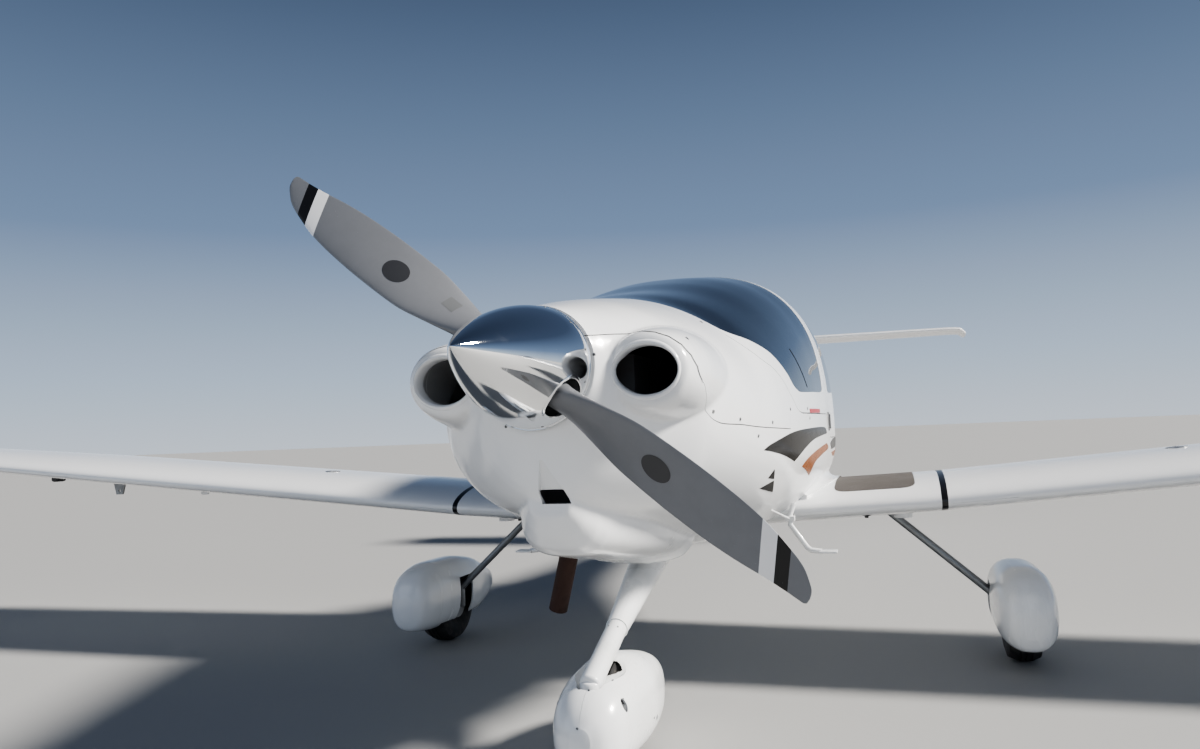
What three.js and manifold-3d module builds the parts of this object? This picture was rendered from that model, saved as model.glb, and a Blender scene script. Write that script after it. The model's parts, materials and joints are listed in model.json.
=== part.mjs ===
import * as THREE from 'three';
import { mergeVertices } from 'three/addons/utils/BufferGeometryUtils.js';
import Module from 'manifold-3d';

// A four-seat, low-wing, T-tailed light aircraft parked on its gear.
// Millimetres. X is positive to port, Y runs aft, Z is up, and the wheels stand on Z = 0.
// Stations are measured aft from the tip of the spinner, as on an aircraft drawing.

const wasm = await Module();
wasm.setup();

const LENGTH = 8060;
const GAP = 0.3;

const station = (s) => s - LENGTH / 2;

// Propeller and shaft
const SHAFT_TILT = THREE.MathUtils.degToRad(2.6);
const SPINNER_TIP_Z = 1321;
const SPINNER_LENGTH = 497;
const SPINNER_RADIUS = 175;
const HUB_DISTANCE = 410;
const PROP_RADIUS = 966;
const PROP_ANGLE = THREE.MathUtils.degToRad(-39);

// Nose
const COWL_FRONT = 505;
const COWL_FACE = 511;
const FIREWALL = 1520;
const INLET = { x: 314, z: 1278, wide: 90, high: 68.5 };
const COWL_SKIN = 12;

// Cabin
const CABIN_SKIN = 28;
const HOLLOW_END = 6300;
const SILL_Z = 1155;
const CANOPY_HINGE = { s: 1030, z: 1530 };
const CANOPY_REACH = 1550;
const DOOR_HINGE_X = 100;

// Wing
const JOINT_X = 1137;
const LE_Z = 757;
const DIHEDRAL = Math.tan(THREE.MathUtils.degToRad(5));

// Gear
const NOSE_AXLE = { s: 1100, z: 168 };
const NOSE_TYRE_RADIUS = 168;
const NOSE_TYRE_WIDTH = 126;
const CASTER_S = 890;
const TOW_BAR = { x: 112, z: 246, radius: 12 };
const MAIN_AXLE = { s: 2700, z: 210 };
const MAIN_TYRE_RADIUS = 210;
const MAIN_TYRE_WIDTH = 150;
const MAIN_X = 1460;
const MAIN_FAIRING_X = 1453;

const PAINT = { color: 0xf2f3f4, roughness: 0.25, metalness: 0.0 };
const BLADE_GREY = { color: 0x6d7075, roughness: 0.45, metalness: 0.3 };
const CHROME = { color: 0xdfe3e8, roughness: 0.06, metalness: 1.0 };
const BARE_STEEL = { color: 0x8a8d90, roughness: 0.35, metalness: 0.9 };
const DARK = { color: 0x24272b, roughness: 0.6, metalness: 0.1 };
const TYRE = { color: 0x17181a, roughness: 0.85, metalness: 0.0 };
const TINT = { color: 0x223047, roughness: 0.05, metalness: 0.0, transparent: true, opacity: 0.55 };
const SEAT = { color: 0x8d8577, roughness: 0.8, metalness: 0.0 };
const RUST = { color: 0x4a2d24, roughness: 0.8, metalness: 0.4 };
const ALLOY = { color: 0xb5b8bb, roughness: 0.4, metalness: 0.8 };

const aircraft = new THREE.Group();

// Solids

function toManifold(geometry) {
  const bare = geometry.clone();
  for (const name of Object.keys(bare.attributes)) {
    if (name !== 'position') bare.deleteAttribute(name);
  }
  const merged = mergeVertices(bare, 1e-3);
  const mesh = new wasm.Mesh({
    numProp: 3,
    vertProperties: new Float32Array(merged.attributes.position.array),
    triVerts: new Uint32Array(merged.index.array),
  });
  return new wasm.Manifold(mesh);
}

function toGeometry(solid) {
  const mesh = solid.getMesh();
  const geometry = new THREE.BufferGeometry();
  geometry.setAttribute('position', new THREE.BufferAttribute(new Float32Array(mesh.vertProperties), 3));
  geometry.setIndex(new THREE.BufferAttribute(new Uint32Array(mesh.triVerts), 1));
  return geometry;
}

function addPiece(name, solid, finish) {
  const geometry = toGeometry(solid);
  geometry.computeVertexNormals();
  const piece = new THREE.Mesh(geometry, new THREE.MeshStandardMaterial(finish));
  piece.name = name;
  aircraft.add(piece);
  return piece;
}

function unite(solids) {
  return solids.reduce((sum, solid) => sum.add(solid));
}

function mirrorX(solid) {
  return solid.mirror([1, 0, 0]);
}

// Joins rings of equal point count into one closed body. Rings run aft or outwards in order.
function loftSolid(rings) {
  const count = rings[0].length;
  const positions = [];
  const indices = [];
  for (const ring of rings) {
    for (const point of ring) positions.push(point.x, point.y, point.z);
  }
  for (let i = 0; i < rings.length - 1; i += 1) {
    for (let j = 0; j < count; j += 1) {
      const a = i * count + j;
      const b = i * count + ((j + 1) % count);
      indices.push(a, b, a + count, b, b + count, a + count);
    }
  }
  const caps = [[0, false], [rings.length - 1, true]];
  for (const [ringIndex, flipped] of caps) {
    const ring = rings[ringIndex];
    const centre = ring.reduce((sum, p) => sum.add(p), new THREE.Vector3()).divideScalar(count);
    const hub = positions.length / 3;
    positions.push(centre.x, centre.y, centre.z);
    for (let j = 0; j < count; j += 1) {
      const a = ringIndex * count + j;
      const b = ringIndex * count + ((j + 1) % count);
      if (flipped) indices.push(hub, a, b);
      else indices.push(hub, b, a);
    }
  }
  const geometry = new THREE.BufferGeometry();
  geometry.setAttribute('position', new THREE.Float32BufferAttribute(positions, 3));
  geometry.setIndex(indices);
  return outward(geometry);
}

// Turns a closed mesh the right way out when its faces point inwards.
function outward(geometry) {
  const p = geometry.attributes.position;
  const index = geometry.index;
  const [a, b, c] = [new THREE.Vector3(), new THREE.Vector3(), new THREE.Vector3()];
  let volume = 0;
  for (let i = 0; i < index.count; i += 3) {
    a.fromBufferAttribute(p, index.getX(i));
    b.fromBufferAttribute(p, index.getX(i + 1));
    c.fromBufferAttribute(p, index.getX(i + 2));
    volume += a.dot(b.cross(c));
  }
  if (volume < 0) {
    for (let i = 0; i < index.count; i += 3) {
      const second = index.getX(i + 1);
      index.setX(i + 1, index.getX(i + 2));
      index.setX(i + 2, second);
    }
  }
  return toManifold(geometry);
}

function boxSolid(low, high) {
  const size = high.map((value, i) => value - low[i]);
  const geometry = new THREE.BoxGeometry(...size);
  geometry.translate(...low.map((value, i) => value + size[i] / 2));
  return toManifold(geometry);
}

// A round bar from one point to another, with its radius at each end.
function rodSolid(from, to, radiusFrom, radiusTo = radiusFrom, sides = 20) {
  const span = to.clone().sub(from);
  const geometry = new THREE.CylinderGeometry(radiusTo, radiusFrom, span.length(), sides);
  const turn = new THREE.Quaternion().setFromUnitVectors(new THREE.Vector3(0, 1, 0), span.clone().normalize());
  geometry.applyQuaternion(turn);
  const middle = from.clone().add(to).multiplyScalar(0.5);
  geometry.translate(middle.x, middle.y, middle.z);
  return toManifold(geometry);
}

// A bar of straight lengths with a ball at each bend.
function bentRod(points, radius, sides = 10) {
  const lengths = points.slice(1).map((point, i) => rodSolid(points[i], point, radius, radius, sides));
  const bends = points.slice(1, -1).map((point) => {
    const ball = new THREE.SphereGeometry(radius * 1.02, 8, 5);
    ball.translate(point.x, point.y, point.z);
    return toManifold(ball);
  });
  return unite([...lengths, ...bends]);
}

// A side-view outline of [station, z] pairs, carried across from one X to another.
function sidePrism(outline, fromX, toX) {
  const shape = new THREE.Shape(outline.map(([s, z]) => new THREE.Vector2(station(s), z)));
  const geometry = new THREE.ExtrudeGeometry(shape, { depth: toX - fromX, bevelEnabled: false, steps: 1 });
  const turn = new THREE.Matrix4().makeBasis(
    new THREE.Vector3(0, 1, 0), new THREE.Vector3(0, 0, 1), new THREE.Vector3(1, 0, 0));
  geometry.applyMatrix4(turn);
  geometry.translate(fromX, 0, 0);
  return toManifold(geometry);
}

// Body of a lathe turned about an axis through a point.
function turnedSolid(profile, at, axis, sides = 32, phase = 0) {
  const geometry = new THREE.LatheGeometry(profile.map(([r, h]) => new THREE.Vector2(r, h)), sides, phase);
  const turn = new THREE.Quaternion().setFromUnitVectors(new THREE.Vector3(0, 1, 0), axis.clone().normalize());
  geometry.applyQuaternion(turn);
  geometry.translate(at.x, at.y, at.z);
  const merged = mergeVertices(stripped(geometry), 1e-3);
  return outward(dropSlivers(merged));
}

function stripped(geometry) {
  const bare = geometry.clone();
  bare.deleteAttribute('normal');
  bare.deleteAttribute('uv');
  return bare;
}

function dropSlivers(geometry) {
  const kept = [];
  const index = geometry.index;
  for (let i = 0; i < index.count; i += 3) {
    const [a, b, c] = [index.getX(i), index.getX(i + 1), index.getX(i + 2)];
    if (a !== b && b !== c && c !== a) kept.push(a, b, c);
  }
  geometry.setIndex(kept);
  return geometry;
}

// Fuselage sections. s: station, half: half width, beam: height of greatest width, top and bottom,
// upper and lower: exponents of the two half ovals, 2 being an ellipse and 3 nearly a box.
const SECTIONS = [
  { s: 505, half: 179, beam: 1297, top: 1476, bottom: 1116, upper: 2.0, lower: 2.0 },
  { s: 540, half: 205, beam: 1285, top: 1482, bottom: 1000, upper: 2.0, lower: 2.0 },
  { s: 580, half: 245, beam: 1270, top: 1488, bottom: 925, upper: 2.0, lower: 2.0 },
  { s: 690, half: 345, beam: 1235, top: 1508, bottom: 862, upper: 2.0, lower: 2.15 },
  { s: 820, half: 446, beam: 1200, top: 1532, bottom: 832, upper: 2.0, lower: 2.3 },
  { s: 1000, half: 502, beam: 1175, top: 1559, bottom: 790, upper: 2.0, lower: 2.3 },
  { s: 1200, half: 546, beam: 1145, top: 1586, bottom: 742, upper: 2.0, lower: 2.3 },
  { s: 1400, half: 584, beam: 1120, top: 1628, bottom: 695, upper: 2.15, lower: 2.25 },
  { s: 1600, half: 610, beam: 1095, top: 1668, bottom: 650, upper: 2.3, lower: 2.25 },
  { s: 1900, half: 636, beam: 1070, top: 1743, bottom: 626, upper: 2.45, lower: 2.2 },
  { s: 2250, half: 654, beam: 1055, top: 1817, bottom: 618, upper: 2.62, lower: 2.3 },
  { s: 2600, half: 664, beam: 1050, top: 1861, bottom: 614, upper: 2.83, lower: 2.35 },
  { s: 2950, half: 667, beam: 1050, top: 1865, bottom: 618, upper: 2.8, lower: 2.35 },
  { s: 3250, half: 652, beam: 1058, top: 1834, bottom: 634, upper: 2.7, lower: 2.3 },
  { s: 3600, half: 596, beam: 1078, top: 1758, bottom: 672, upper: 2.6, lower: 2.2 },
  { s: 3950, half: 500, beam: 1104, top: 1640, bottom: 728, upper: 2.35, lower: 2.1 },
  { s: 4300, half: 388, beam: 1128, top: 1510, bottom: 792, upper: 2.15, lower: 2.0 },
  { s: 4700, half: 282, beam: 1145, top: 1405, bottom: 856, upper: 2.0, lower: 2.0 },
  { s: 5200, half: 214, beam: 1155, top: 1342, bottom: 914, upper: 2.0, lower: 2.0 },
  { s: 6000, half: 160, beam: 1165, top: 1300, bottom: 980, upper: 2.0, lower: 2.0 },
  { s: 6900, half: 108, beam: 1170, top: 1272, bottom: 1040, upper: 2.0, lower: 2.0 },
  { s: 7400, half: 62, beam: 1170, top: 1250, bottom: 1080, upper: 2.0, lower: 2.0 },
];
const RING_POINTS = 28;

function sectionRing(section, inset = 0) {
  const ring = [];
  for (let i = 0; i < RING_POINTS; i += 1) {
    const angle = (i / RING_POINTS) * 2 * Math.PI;
    const [c, s] = [Math.cos(angle), Math.sin(angle)];
    const power = 2 / (s >= 0 ? section.upper : section.lower);
    const rise = s >= 0 ? section.top - section.beam : section.beam - section.bottom;
    const x = (section.half - inset) * Math.sign(c) * Math.abs(c) ** power;
    const z = section.beam + (rise - inset) * Math.sign(s) * Math.abs(s) ** power;
    ring.push(new THREE.Vector3(x, station(section.s), z));
  }
  return ring;
}

function sectionAt(s) {
  const next = SECTIONS.findIndex((row) => row.s >= s);
  const i = Math.max(next - 1, 0);
  const [low, high] = [SECTIONS[i], SECTIONS[i + 1]];
  const t = (s - low.s) / (high.s - low.s);
  const section = {};
  for (const key of Object.keys(low)) section[key] = THREE.MathUtils.lerp(low[key], high[key], t);
  return section;
}

// The skin between two stations, moved inwards by inset.
function hull(fromS, toS, inset = 0) {
  const inner = SECTIONS.filter((row) => row.s > fromS + 1 && row.s < toS - 1);
  const rows = [sectionAt(fromS), ...inner, sectionAt(toS)];
  return loftSolid(rows.map((row) => sectionRing(row, inset)));
}

// Nose cheeks round the inlets. s: station, x and z: centre, wide and high: half sizes.
const CHEEK_SECTIONS = [
  { s: 556, x: 314, z: 1278, wide: 100, high: 84 },
  { s: 566, x: 314, z: 1278, wide: 117, high: 101 },
  { s: 600, x: 314, z: 1277, wide: 131, high: 117 },
  { s: 680, x: 312, z: 1274, wide: 148, high: 136 },
  { s: 820, x: 300, z: 1265, wide: 172, high: 160 },
  { s: 1050, x: 270, z: 1240, wide: 205, high: 195 },
  { s: 1300, x: 240, z: 1200, wide: 220, high: 210 },
];

function ovalRing(row, inset = 0, points = 24) {
  const ring = [];
  for (let i = 0; i < points; i += 1) {
    const angle = (i / points) * 2 * Math.PI;
    ring.push(new THREE.Vector3(
      row.x + (row.wide - inset) * Math.cos(angle),
      station(row.s),
      row.z + (row.high - inset) * Math.sin(angle)));
  }
  return ring;
}

function cheek(inset = 0, startS = 0) {
  const rows = CHEEK_SECTIONS.filter((row) => row.s >= startS);
  return loftSolid(rows.map((row) => ovalRing(row, inset)));
}

// Keel of the lower cowl that carries the cooling air out. s: station, half: half width, spring: height where
// the round bottom starts, bottom.
const KEEL_SECTIONS = [
  { s: 590, half: 62, spring: 910, bottom: 868 },
  { s: 640, half: 100, spring: 890, bottom: 800 },
  { s: 700, half: 135, spring: 870, bottom: 748 },
  { s: 820, half: 180, spring: 850, bottom: 722 },
  { s: 1000, half: 206, spring: 810, bottom: 690 },
  { s: 1250, half: 228, spring: 768, bottom: 656 },
  { s: 1365, half: 238, spring: 742, bottom: 648 },
  { s: 1395, half: 241, spring: 738, bottom: 616 },
  { s: 1420, half: 242, spring: 735, bottom: 613 },
];
const KEEL_TOP = 960;
const KEEL_STEPS = 10;

function keelRing(row, inset = 0) {
  const half = row.half - inset;
  const y = station(row.s);
  const ring = [new THREE.Vector3(half, y, KEEL_TOP - inset)];
  for (let i = 0; i <= KEEL_STEPS; i += 1) {
    const angle = (i / KEEL_STEPS) * Math.PI;
    const [c, s] = [Math.cos(angle), Math.sin(angle)];
    const x = half * Math.sign(c) * Math.abs(c) ** 0.85;
    ring.push(new THREE.Vector3(x, y, row.spring - (row.spring - row.bottom - inset) * s ** 0.85));
  }
  ring.push(new THREE.Vector3(-half, y, KEEL_TOP - inset));
  return ring;
}

// Side-view parting lines, as [station, z].
const CANOPY_FRONT = [[1130, 2100], [1130, 1560], [1200, 1430], [1370, 1290], [1480, 1210], [1600, SILL_Z]];
const REAR_ARC = [];
for (let z = SILL_Z; z <= 1900; z += 93) {
  REAR_ARC.push([CANOPY_HINGE.s + Math.sqrt(CANOPY_REACH ** 2 - (z - CANOPY_HINGE.z) ** 2), z]);
}
const CANOPY_OUTLINE = [...CANOPY_FRONT, ...REAR_ARC, [2540, 2100]];
const CANOPY_GLASS = [[1250, 2100], [1250, 1590], [1315, 1478], [1420, 1392], [1560, 1300], [1680, 1256], [1740, 1246],
  [2395, 1258], [2440, 1290], [2475, 1420], [2490, 1560], [2470, 1760], [2440, 2100]];
const DOOR_OUTLINE = [[2640, 1090], [2700, 1040], [3230, 1060], [3420, 1190], [3560, 1450], [3530, 2100], [2640, 2100]];
const REAR_GLASS = [[2700, 1300], [2740, 1262], [3240, 1290], [3370, 1370], [3470, 1520], [3400, 2100], [2700, 2100]];

function offsetOutline(outline, distance) {
  const count = outline.length;
  const area = outline.reduce((sum, [s, z], i) => {
    const [s2, z2] = outline[(i + 1) % count];
    return sum + (s * z2 - s2 * z);
  }, 0);
  const side = Math.sign(area);
  return outline.map(([s, z], i) => {
    const [sa, za] = outline[(i + count - 1) % count];
    const [sb, zb] = outline[(i + 1) % count];
    const inDir = new THREE.Vector2(s - sa, z - za).normalize();
    const outDir = new THREE.Vector2(sb - s, zb - z).normalize();
    const normalIn = new THREE.Vector2(inDir.y, -inDir.x).multiplyScalar(side);
    const normalOut = new THREE.Vector2(outDir.y, -outDir.x).multiplyScalar(side);
    const bisector = normalIn.clone().add(normalOut).normalize();
    const stretch = distance / Math.max(bisector.dot(normalIn), 0.4);
    return [s + bisector.x * stretch, z + bisector.y * stretch];
  });
}

// Wing

// Section of a cambered wing as [distance aft, height] in chords, from the trailing edge over the top and back.
function aerofoil(thickness, camber, points = 10) {
  const upper = [];
  const lower = [];
  for (let i = 0; i <= points; i += 1) {
    const x = (1 - Math.cos((i / points) * Math.PI)) / 2;
    const half = 5 * thickness * (0.2969 * Math.sqrt(x) - 0.126 * x - 0.3516 * x ** 2 + 0.2843 * x ** 3 - 0.1 * x ** 4);
    const crown = 0.4;
    const mean = x < crown
      ? (camber / crown ** 2) * (2 * crown * x - x * x)
      : (camber / (1 - crown) ** 2) * (1 - 2 * crown + 2 * crown * x - x * x);
    upper.push([x, mean + half + 0.001]);
    lower.push([x, mean - half - 0.001]);
  }
  return [...upper.reverse(), ...lower.slice(1)];
}

// Wing stations. x: span station, s: leading edge, chord, z: leading edge height, thick: thickness in chords.
const WING_ROWS = [
  { x: JOINT_X, s: 2224, chord: 1235, z: LE_Z, thick: 0.122 },
  { x: 3900, s: 2272, chord: 1140, z: LE_Z + (3900 - JOINT_X) * DIHEDRAL, thick: 0.115 },
  { x: 5560, s: 2350, chord: 880, z: LE_Z + (5560 - JOINT_X) * DIHEDRAL, thick: 0.112 },
  { x: 5760, s: 2395, chord: 795, z: 1168, thick: 0.11 },
  { x: 5880, s: 2470, chord: 670, z: 1214, thick: 0.1 },
  { x: 5940, s: 2600, chord: 500, z: 1330, thick: 0.1 },
  { x: 5966, s: 2760, chord: 320, z: 1490, thick: 0.09 },
];

function wingRing(row, lean = 0) {
  return aerofoil(row.thick, 0.028).map(([x, h]) => {
    const rise = h * row.chord;
    return new THREE.Vector3(
      row.x - rise * Math.sin(lean),
      station(row.s + x * row.chord),
      row.z + rise * Math.cos(lean));
  });
}

function wingRowAt(x) {
  const [low, high] = x < 3900 ? [WING_ROWS[0], WING_ROWS[1]] : [WING_ROWS[1], WING_ROWS[2]];
  const t = (x - low.x) / (high.x - low.x);
  const row = {};
  for (const key of Object.keys(low)) row[key] = THREE.MathUtils.lerp(low[key], high[key], t);
  return row;
}

const TIP_LEAN = [0, 0, 0, 0.35, 0.8, 1.25, 1.4];
const stubEnd = { ...WING_ROWS[0], x: JOINT_X - GAP };
const stubRoot = { x: 380, s: 2200, chord: 1290, z: 712, thick: 0.128 };
const stub = loftSolid([wingRing(stubRoot), wingRing(stubEnd)]);
const wholeWing = loftSolid(WING_ROWS.map((row, i) => wingRing(row, TIP_LEAN[i])));

// Point on the wing's own camber line at a fraction of its chord.
function wingPoint(x, part, drop = 0) {
  const row = wingRowAt(x);
  const mean = 0.028 / 0.36 * (0.2 + 0.8 * part - part * part);
  return new THREE.Vector3(x, station(row.s + part * row.chord), row.z + mean * row.chord - drop);
}

// Parts a hinged surface from a solid. The hinge runs from a to b; aft is the way the surface trails.
// With radii, those at a and b, the surface has a round nose about its hinge; without, it hangs from its lower edge.
function hinged(solid, a, b, options) {
  const { radii, clearance, endClearance, depth, thickness, aft } = options;
  const along = b.clone().sub(a);
  const length = along.length();
  along.normalize();
  const back = aft.clone().addScaledVector(along, -aft.dot(along)).normalize();
  const up = new THREE.Vector3().crossVectors(along, back);
  const place = new THREE.Matrix4().makeBasis(along, back, up).setPosition(a);
  const block = (trim, front) => {
    const geometry = new THREE.BoxGeometry(length - 2 * trim, depth, thickness);
    geometry.translate(length / 2, depth / 2 + front, 0);
    geometry.applyMatrix4(place);
    return toManifold(geometry);
  };
  let moving = block(endClearance, radii ? 0 : clearance);
  let pocket = block(0, 0);
  if (radii) {
    const near = a.clone().addScaledVector(along, endClearance);
    const far = b.clone().addScaledVector(along, -endClearance);
    moving = moving.add(rodSolid(near, far, radii[0], radii[1], 20));
    pocket = pocket.add(rodSolid(a, b, radii[0] + clearance, radii[1] + clearance, 20));
  }
  return { fixed: solid.subtract(pocket), moving: solid.intersect(moving) };
}

const AFT = new THREE.Vector3(0, 1, 0);
const FLAP = { from: 1165, to: 3600, part: 0.765 };
const AILERON = { from: 3640, to: 5420, part: 0.81 };

const flapSplit = hinged(wholeWing, wingPoint(FLAP.from, FLAP.part, 36), wingPoint(FLAP.to, FLAP.part, 34),
  { radii: null, clearance: 8, endClearance: 8, depth: 500, thickness: 400, aft: AFT });
const aileronSplit = hinged(flapSplit.fixed, wingPoint(AILERON.from, AILERON.part), wingPoint(AILERON.to, AILERON.part),
  { radii: [31, 25], clearance: 6, endClearance: 8, depth: 400, thickness: 400, aft: AFT });

// Brackets under the wing at the hinges of the flap and the aileron.
const BRACKET_X = [1500, 2400, 3300, 3950, 4900];
function bracket(x) {
  const surface = x < FLAP.to ? FLAP : AILERON;
  const along = (x - surface.from) / (surface.to - surface.from);
  const foot = wingPoint(surface.from, surface.part).lerp(wingPoint(surface.to, surface.part), along);
  const outline = [[-260, -18], [-100, -60], [-50, -60], [-42, -10], [-260, 10]];
  const points = outline.map(([y, z]) => [foot.y + LENGTH / 2 + y, foot.z + z]);
  return sidePrism(points, x - 14, x + 14);
}

// Tie-down lug under the wing, a plate with its flat sides facing forward and aft.
const LUG = { x: 3060, part: 0.34, wide: 50, deep: 70, thick: 12 };
const lugFoot = wingPoint(LUG.x, LUG.part);
const lug = boxSolid([LUG.x - LUG.wide / 2, lugFoot.y - LUG.thick / 2, lugFoot.z - 60 - LUG.deep],
  [LUG.x + LUG.wide / 2, lugFoot.y + LUG.thick / 2, lugFoot.z]);
const wingFixed = unite([aileronSplit.fixed, lug, ...BRACKET_X.map(bracket)]);

addPiece('wing_port', wingFixed, PAINT);
addPiece('wing_starboard', mirrorX(wingFixed), PAINT);
addPiece('flap_port', flapSplit.moving, PAINT);
addPiece('flap_starboard', mirrorX(flapSplit.moving), PAINT);
addPiece('aileron_port', aileronSplit.moving, PAINT);
addPiece('aileron_starboard', mirrorX(aileronSplit.moving), PAINT);

// Tail

// Tail surface section, symmetrical, as [distance aft, half thickness] in chords.
const FIN_TOP = 1908;
const TAIL_ROWS = [
  { x: 0, s: 7110, chord: 780, z: 1953 },
  { x: 1500, s: 7190, chord: 640, z: 1953 },
  { x: 1610, s: 7215, chord: 590, z: 1947 },
  { x: 1660, s: 7270, chord: 500, z: 1913 },
];
function tailRing(row, side) {
  return aerofoil(0.088, 0).map(([x, h]) => new THREE.Vector3(
    side * row.x, station(row.s + x * row.chord), row.z + h * row.chord));
}
const stabiliserSpan = loftSolid([
  ...TAIL_ROWS.slice(1).reverse().map((row) => tailRing(row, -1)),
  ...TAIL_ROWS.map((row) => tailRing(row, 1)),
]);
const ELEVATOR = { half: 1500, s: 7660, z: 1953 };
const elevatorSplit = hinged(stabiliserSpan,
  new THREE.Vector3(-ELEVATOR.half, station(ELEVATOR.s), ELEVATOR.z),
  new THREE.Vector3(ELEVATOR.half, station(ELEVATOR.s), ELEVATOR.z),
  { radii: [24, 24], clearance: 8, endClearance: 8, depth: 400, thickness: 160, aft: AFT });

// Fin section rows. z: height, s: leading edge, tail: trailing edge, half: half thickness.
const FIN_ROWS = [
  { z: 1040, s: 6420, tail: 8064, half: 52 },
  { z: 1270, s: 6440, tail: 8030, half: 52 },
  { z: 1400, s: 6700, tail: 8012, half: 48 },
  { z: 1620, s: 6930, tail: 7976, half: 42 },
  { z: FIN_TOP, s: 7140, tail: 7930, half: 36 },
];
function finRing(row) {
  const chord = row.tail - row.s;
  return aerofoil((row.half * 2) / chord, 0).map(([x, h]) => new THREE.Vector3(
    h * chord, station(row.s + x * chord), row.z));
}
const finWhole = loftSolid(FIN_ROWS.map(finRing));
const rudderLow = new THREE.Vector3(0, station(7520), 1066);
const rudderHigh = new THREE.Vector3(0, station(7622), 1850);
const rudderSplit = hinged(finWhole, rudderLow, rudderHigh,
  { radii: [40, 30], clearance: 6, endClearance: 6, depth: 700, thickness: 300, aft: AFT });

const FIN_CAP_BOTTOM = FIN_TOP + GAP;
const bullet = loftSolid([
  { s: 7080, half: 12, rise: 14 },
  { s: 7150, half: 34, rise: 46 },
  { s: 7400, half: 42, rise: 70 },
  { s: 7596, half: 36, rise: 66 },
  { s: 7626, half: 32, rise: 60 },
].map((row) => [[1, 0], [1, 0.6], [0.5, 1], [-0.5, 1], [-1, 0.6], [-1, 0]].map(([x, z]) => new THREE.Vector3(
  row.half * x, station(row.s), FIN_CAP_BOTTOM + row.rise * z))));

addPiece('stabiliser', elevatorSplit.fixed.add(bullet), PAINT);
addPiece('elevator', elevatorSplit.moving, PAINT);
addPiece('rudder', rudderSplit.moving, PAINT);

const VENTRAL_OUTLINE = [[6700, 1035], [7420, 1060], [7380, 860], [7300, 800], [6980, 810]];

// Fuselage

const bodyOuter = hull(FIREWALL + GAP, 7400);
const cabinInner = hull(FIREWALL + 40, HOLLOW_END, CABIN_SKIN);
const floorZ = 668;
const cabinSpace = cabinInner.intersect(boxSolid([-700, station(FIREWALL), floorZ], [700, station(HOLLOW_END + 10), 2100]));
const canopyCut = sidePrism(CANOPY_OUTLINE, -900, 900);
const doorCut = sidePrism(DOOR_OUTLINE, DOOR_HINGE_X, 900);
const starboardGlassCut = sidePrism(REAR_GLASS, -900, -DOOR_HINGE_X - 60);

// Jacking pads under the stubs.
const JACK = { x: 980, s: 2480, low: 672, radius: 40 };
const jackPad = rodSolid(new THREE.Vector3(JACK.x, station(JACK.s), JACK.low),
  new THREE.Vector3(JACK.x, station(JACK.s), JACK.low + 70), JACK.radius, JACK.radius, 16);

let fuselage = bodyOuter.subtract(cabinSpace).subtract(canopyCut).add(jackPad).add(mirrorX(jackPad));
fuselage = fuselage.add(stub.subtract(cabinInner)).add(mirrorX(stub).subtract(cabinInner));
fuselage = fuselage.subtract(doorCut).subtract(starboardGlassCut).subtract(cabinSpace);
const elevatorRoom = boxSolid([-60, station(7640), 1856], [60, station(8100), FIN_TOP + 10]);
fuselage = fuselage.add(rudderSplit.fixed.subtract(elevatorRoom));

// Gear struts sit in sockets of the stub.
const STRUT_TOP = new THREE.Vector3(840, station(2660), 748);
const STRUT_END = new THREE.Vector3(1368, station(MAIN_AXLE.s), 283);
const STRUT_RADIUS = 18;
const strutSocket = rodSolid(STRUT_TOP.clone().sub(new THREE.Vector3(0.3, 0, -0.3)), STRUT_END, STRUT_RADIUS + GAP);
const LEG_SLOPE = 0.362;
const legPoint = (s) => new THREE.Vector3(0, station(s), 376 + LEG_SLOPE * (s - 1060));
const legSocket = rodSolid(legPoint(1400), legPoint(1801), 80 + GAP);
fuselage = fuselage.subtract(strutSocket).subtract(mirrorX(strutSocket)).subtract(legSocket);
addPiece('fuselage', fuselage, PAINT);

const ventral = sidePrism(VENTRAL_OUTLINE, -14, 14).subtract(hull(6300, 7400, -GAP)).subtract(
  finWhole.add(boxSolid([-30, station(6400), 1040], [30, station(7500), 1100])));
addPiece('ventral_fin', ventral, PAINT);

// Canopy

const canopyShell = hull(1000, 2700).subtract(hull(1000, 2700, CABIN_SKIN));
const canopyPanel = canopyShell.intersect(sidePrism(offsetOutline(CANOPY_OUTLINE, -5.5), -900, 900));
const glassCutter = sidePrism(CANOPY_GLASS, -900, 900);
const glassPanel = hull(1000, 2700, 6).subtract(hull(1000, 2700, 14))
  .intersect(sidePrism(offsetOutline(CANOPY_GLASS, -GAP), -900, 900));
addPiece('canopy_frame', canopyPanel.subtract(glassCutter), PAINT);
addPiece('canopy_glass', glassPanel, TINT);

// Rear door and windows

const rearShell = hull(2560, 3800).subtract(hull(2560, 3800, CABIN_SKIN));
const rearPane = hull(2560, 3800, 6).subtract(hull(2560, 3800, 14));
const doorPanel = rearShell.intersect(sidePrism(offsetOutline(DOOR_OUTLINE, -5.5), DOOR_HINGE_X + 5.5, 900));
const doorGlassCut = sidePrism(REAR_GLASS, DOOR_HINGE_X + 60, 900);
const doorGlass = rearPane.intersect(sidePrism(offsetOutline(REAR_GLASS, -GAP), DOOR_HINGE_X + 60 + GAP, 900));
addPiece('rear_door', doorPanel.subtract(doorGlassCut), PAINT);
addPiece('rear_door_glass', doorGlass, TINT);
addPiece('rear_window_glass', mirrorX(doorGlass), TINT);

// Cabin fittings

const lining = hull(1180, 3900, CABIN_SKIN + 9);
const PANEL_OUTLINE = [[1260, 1410], [1250, 1478], [1420, 1522], [1740, 1470], [1775, 1442], [1745, 1010], [1725, 1010],
  [1725, 1380], [1565, 1380], [1565, 1172], [1489, 1206 + GAP]];
const panel = sidePrism(PANEL_OUTLINE, -700, 700).intersect(lining);
addPiece('instrument_panel', panel, DARK);

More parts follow.
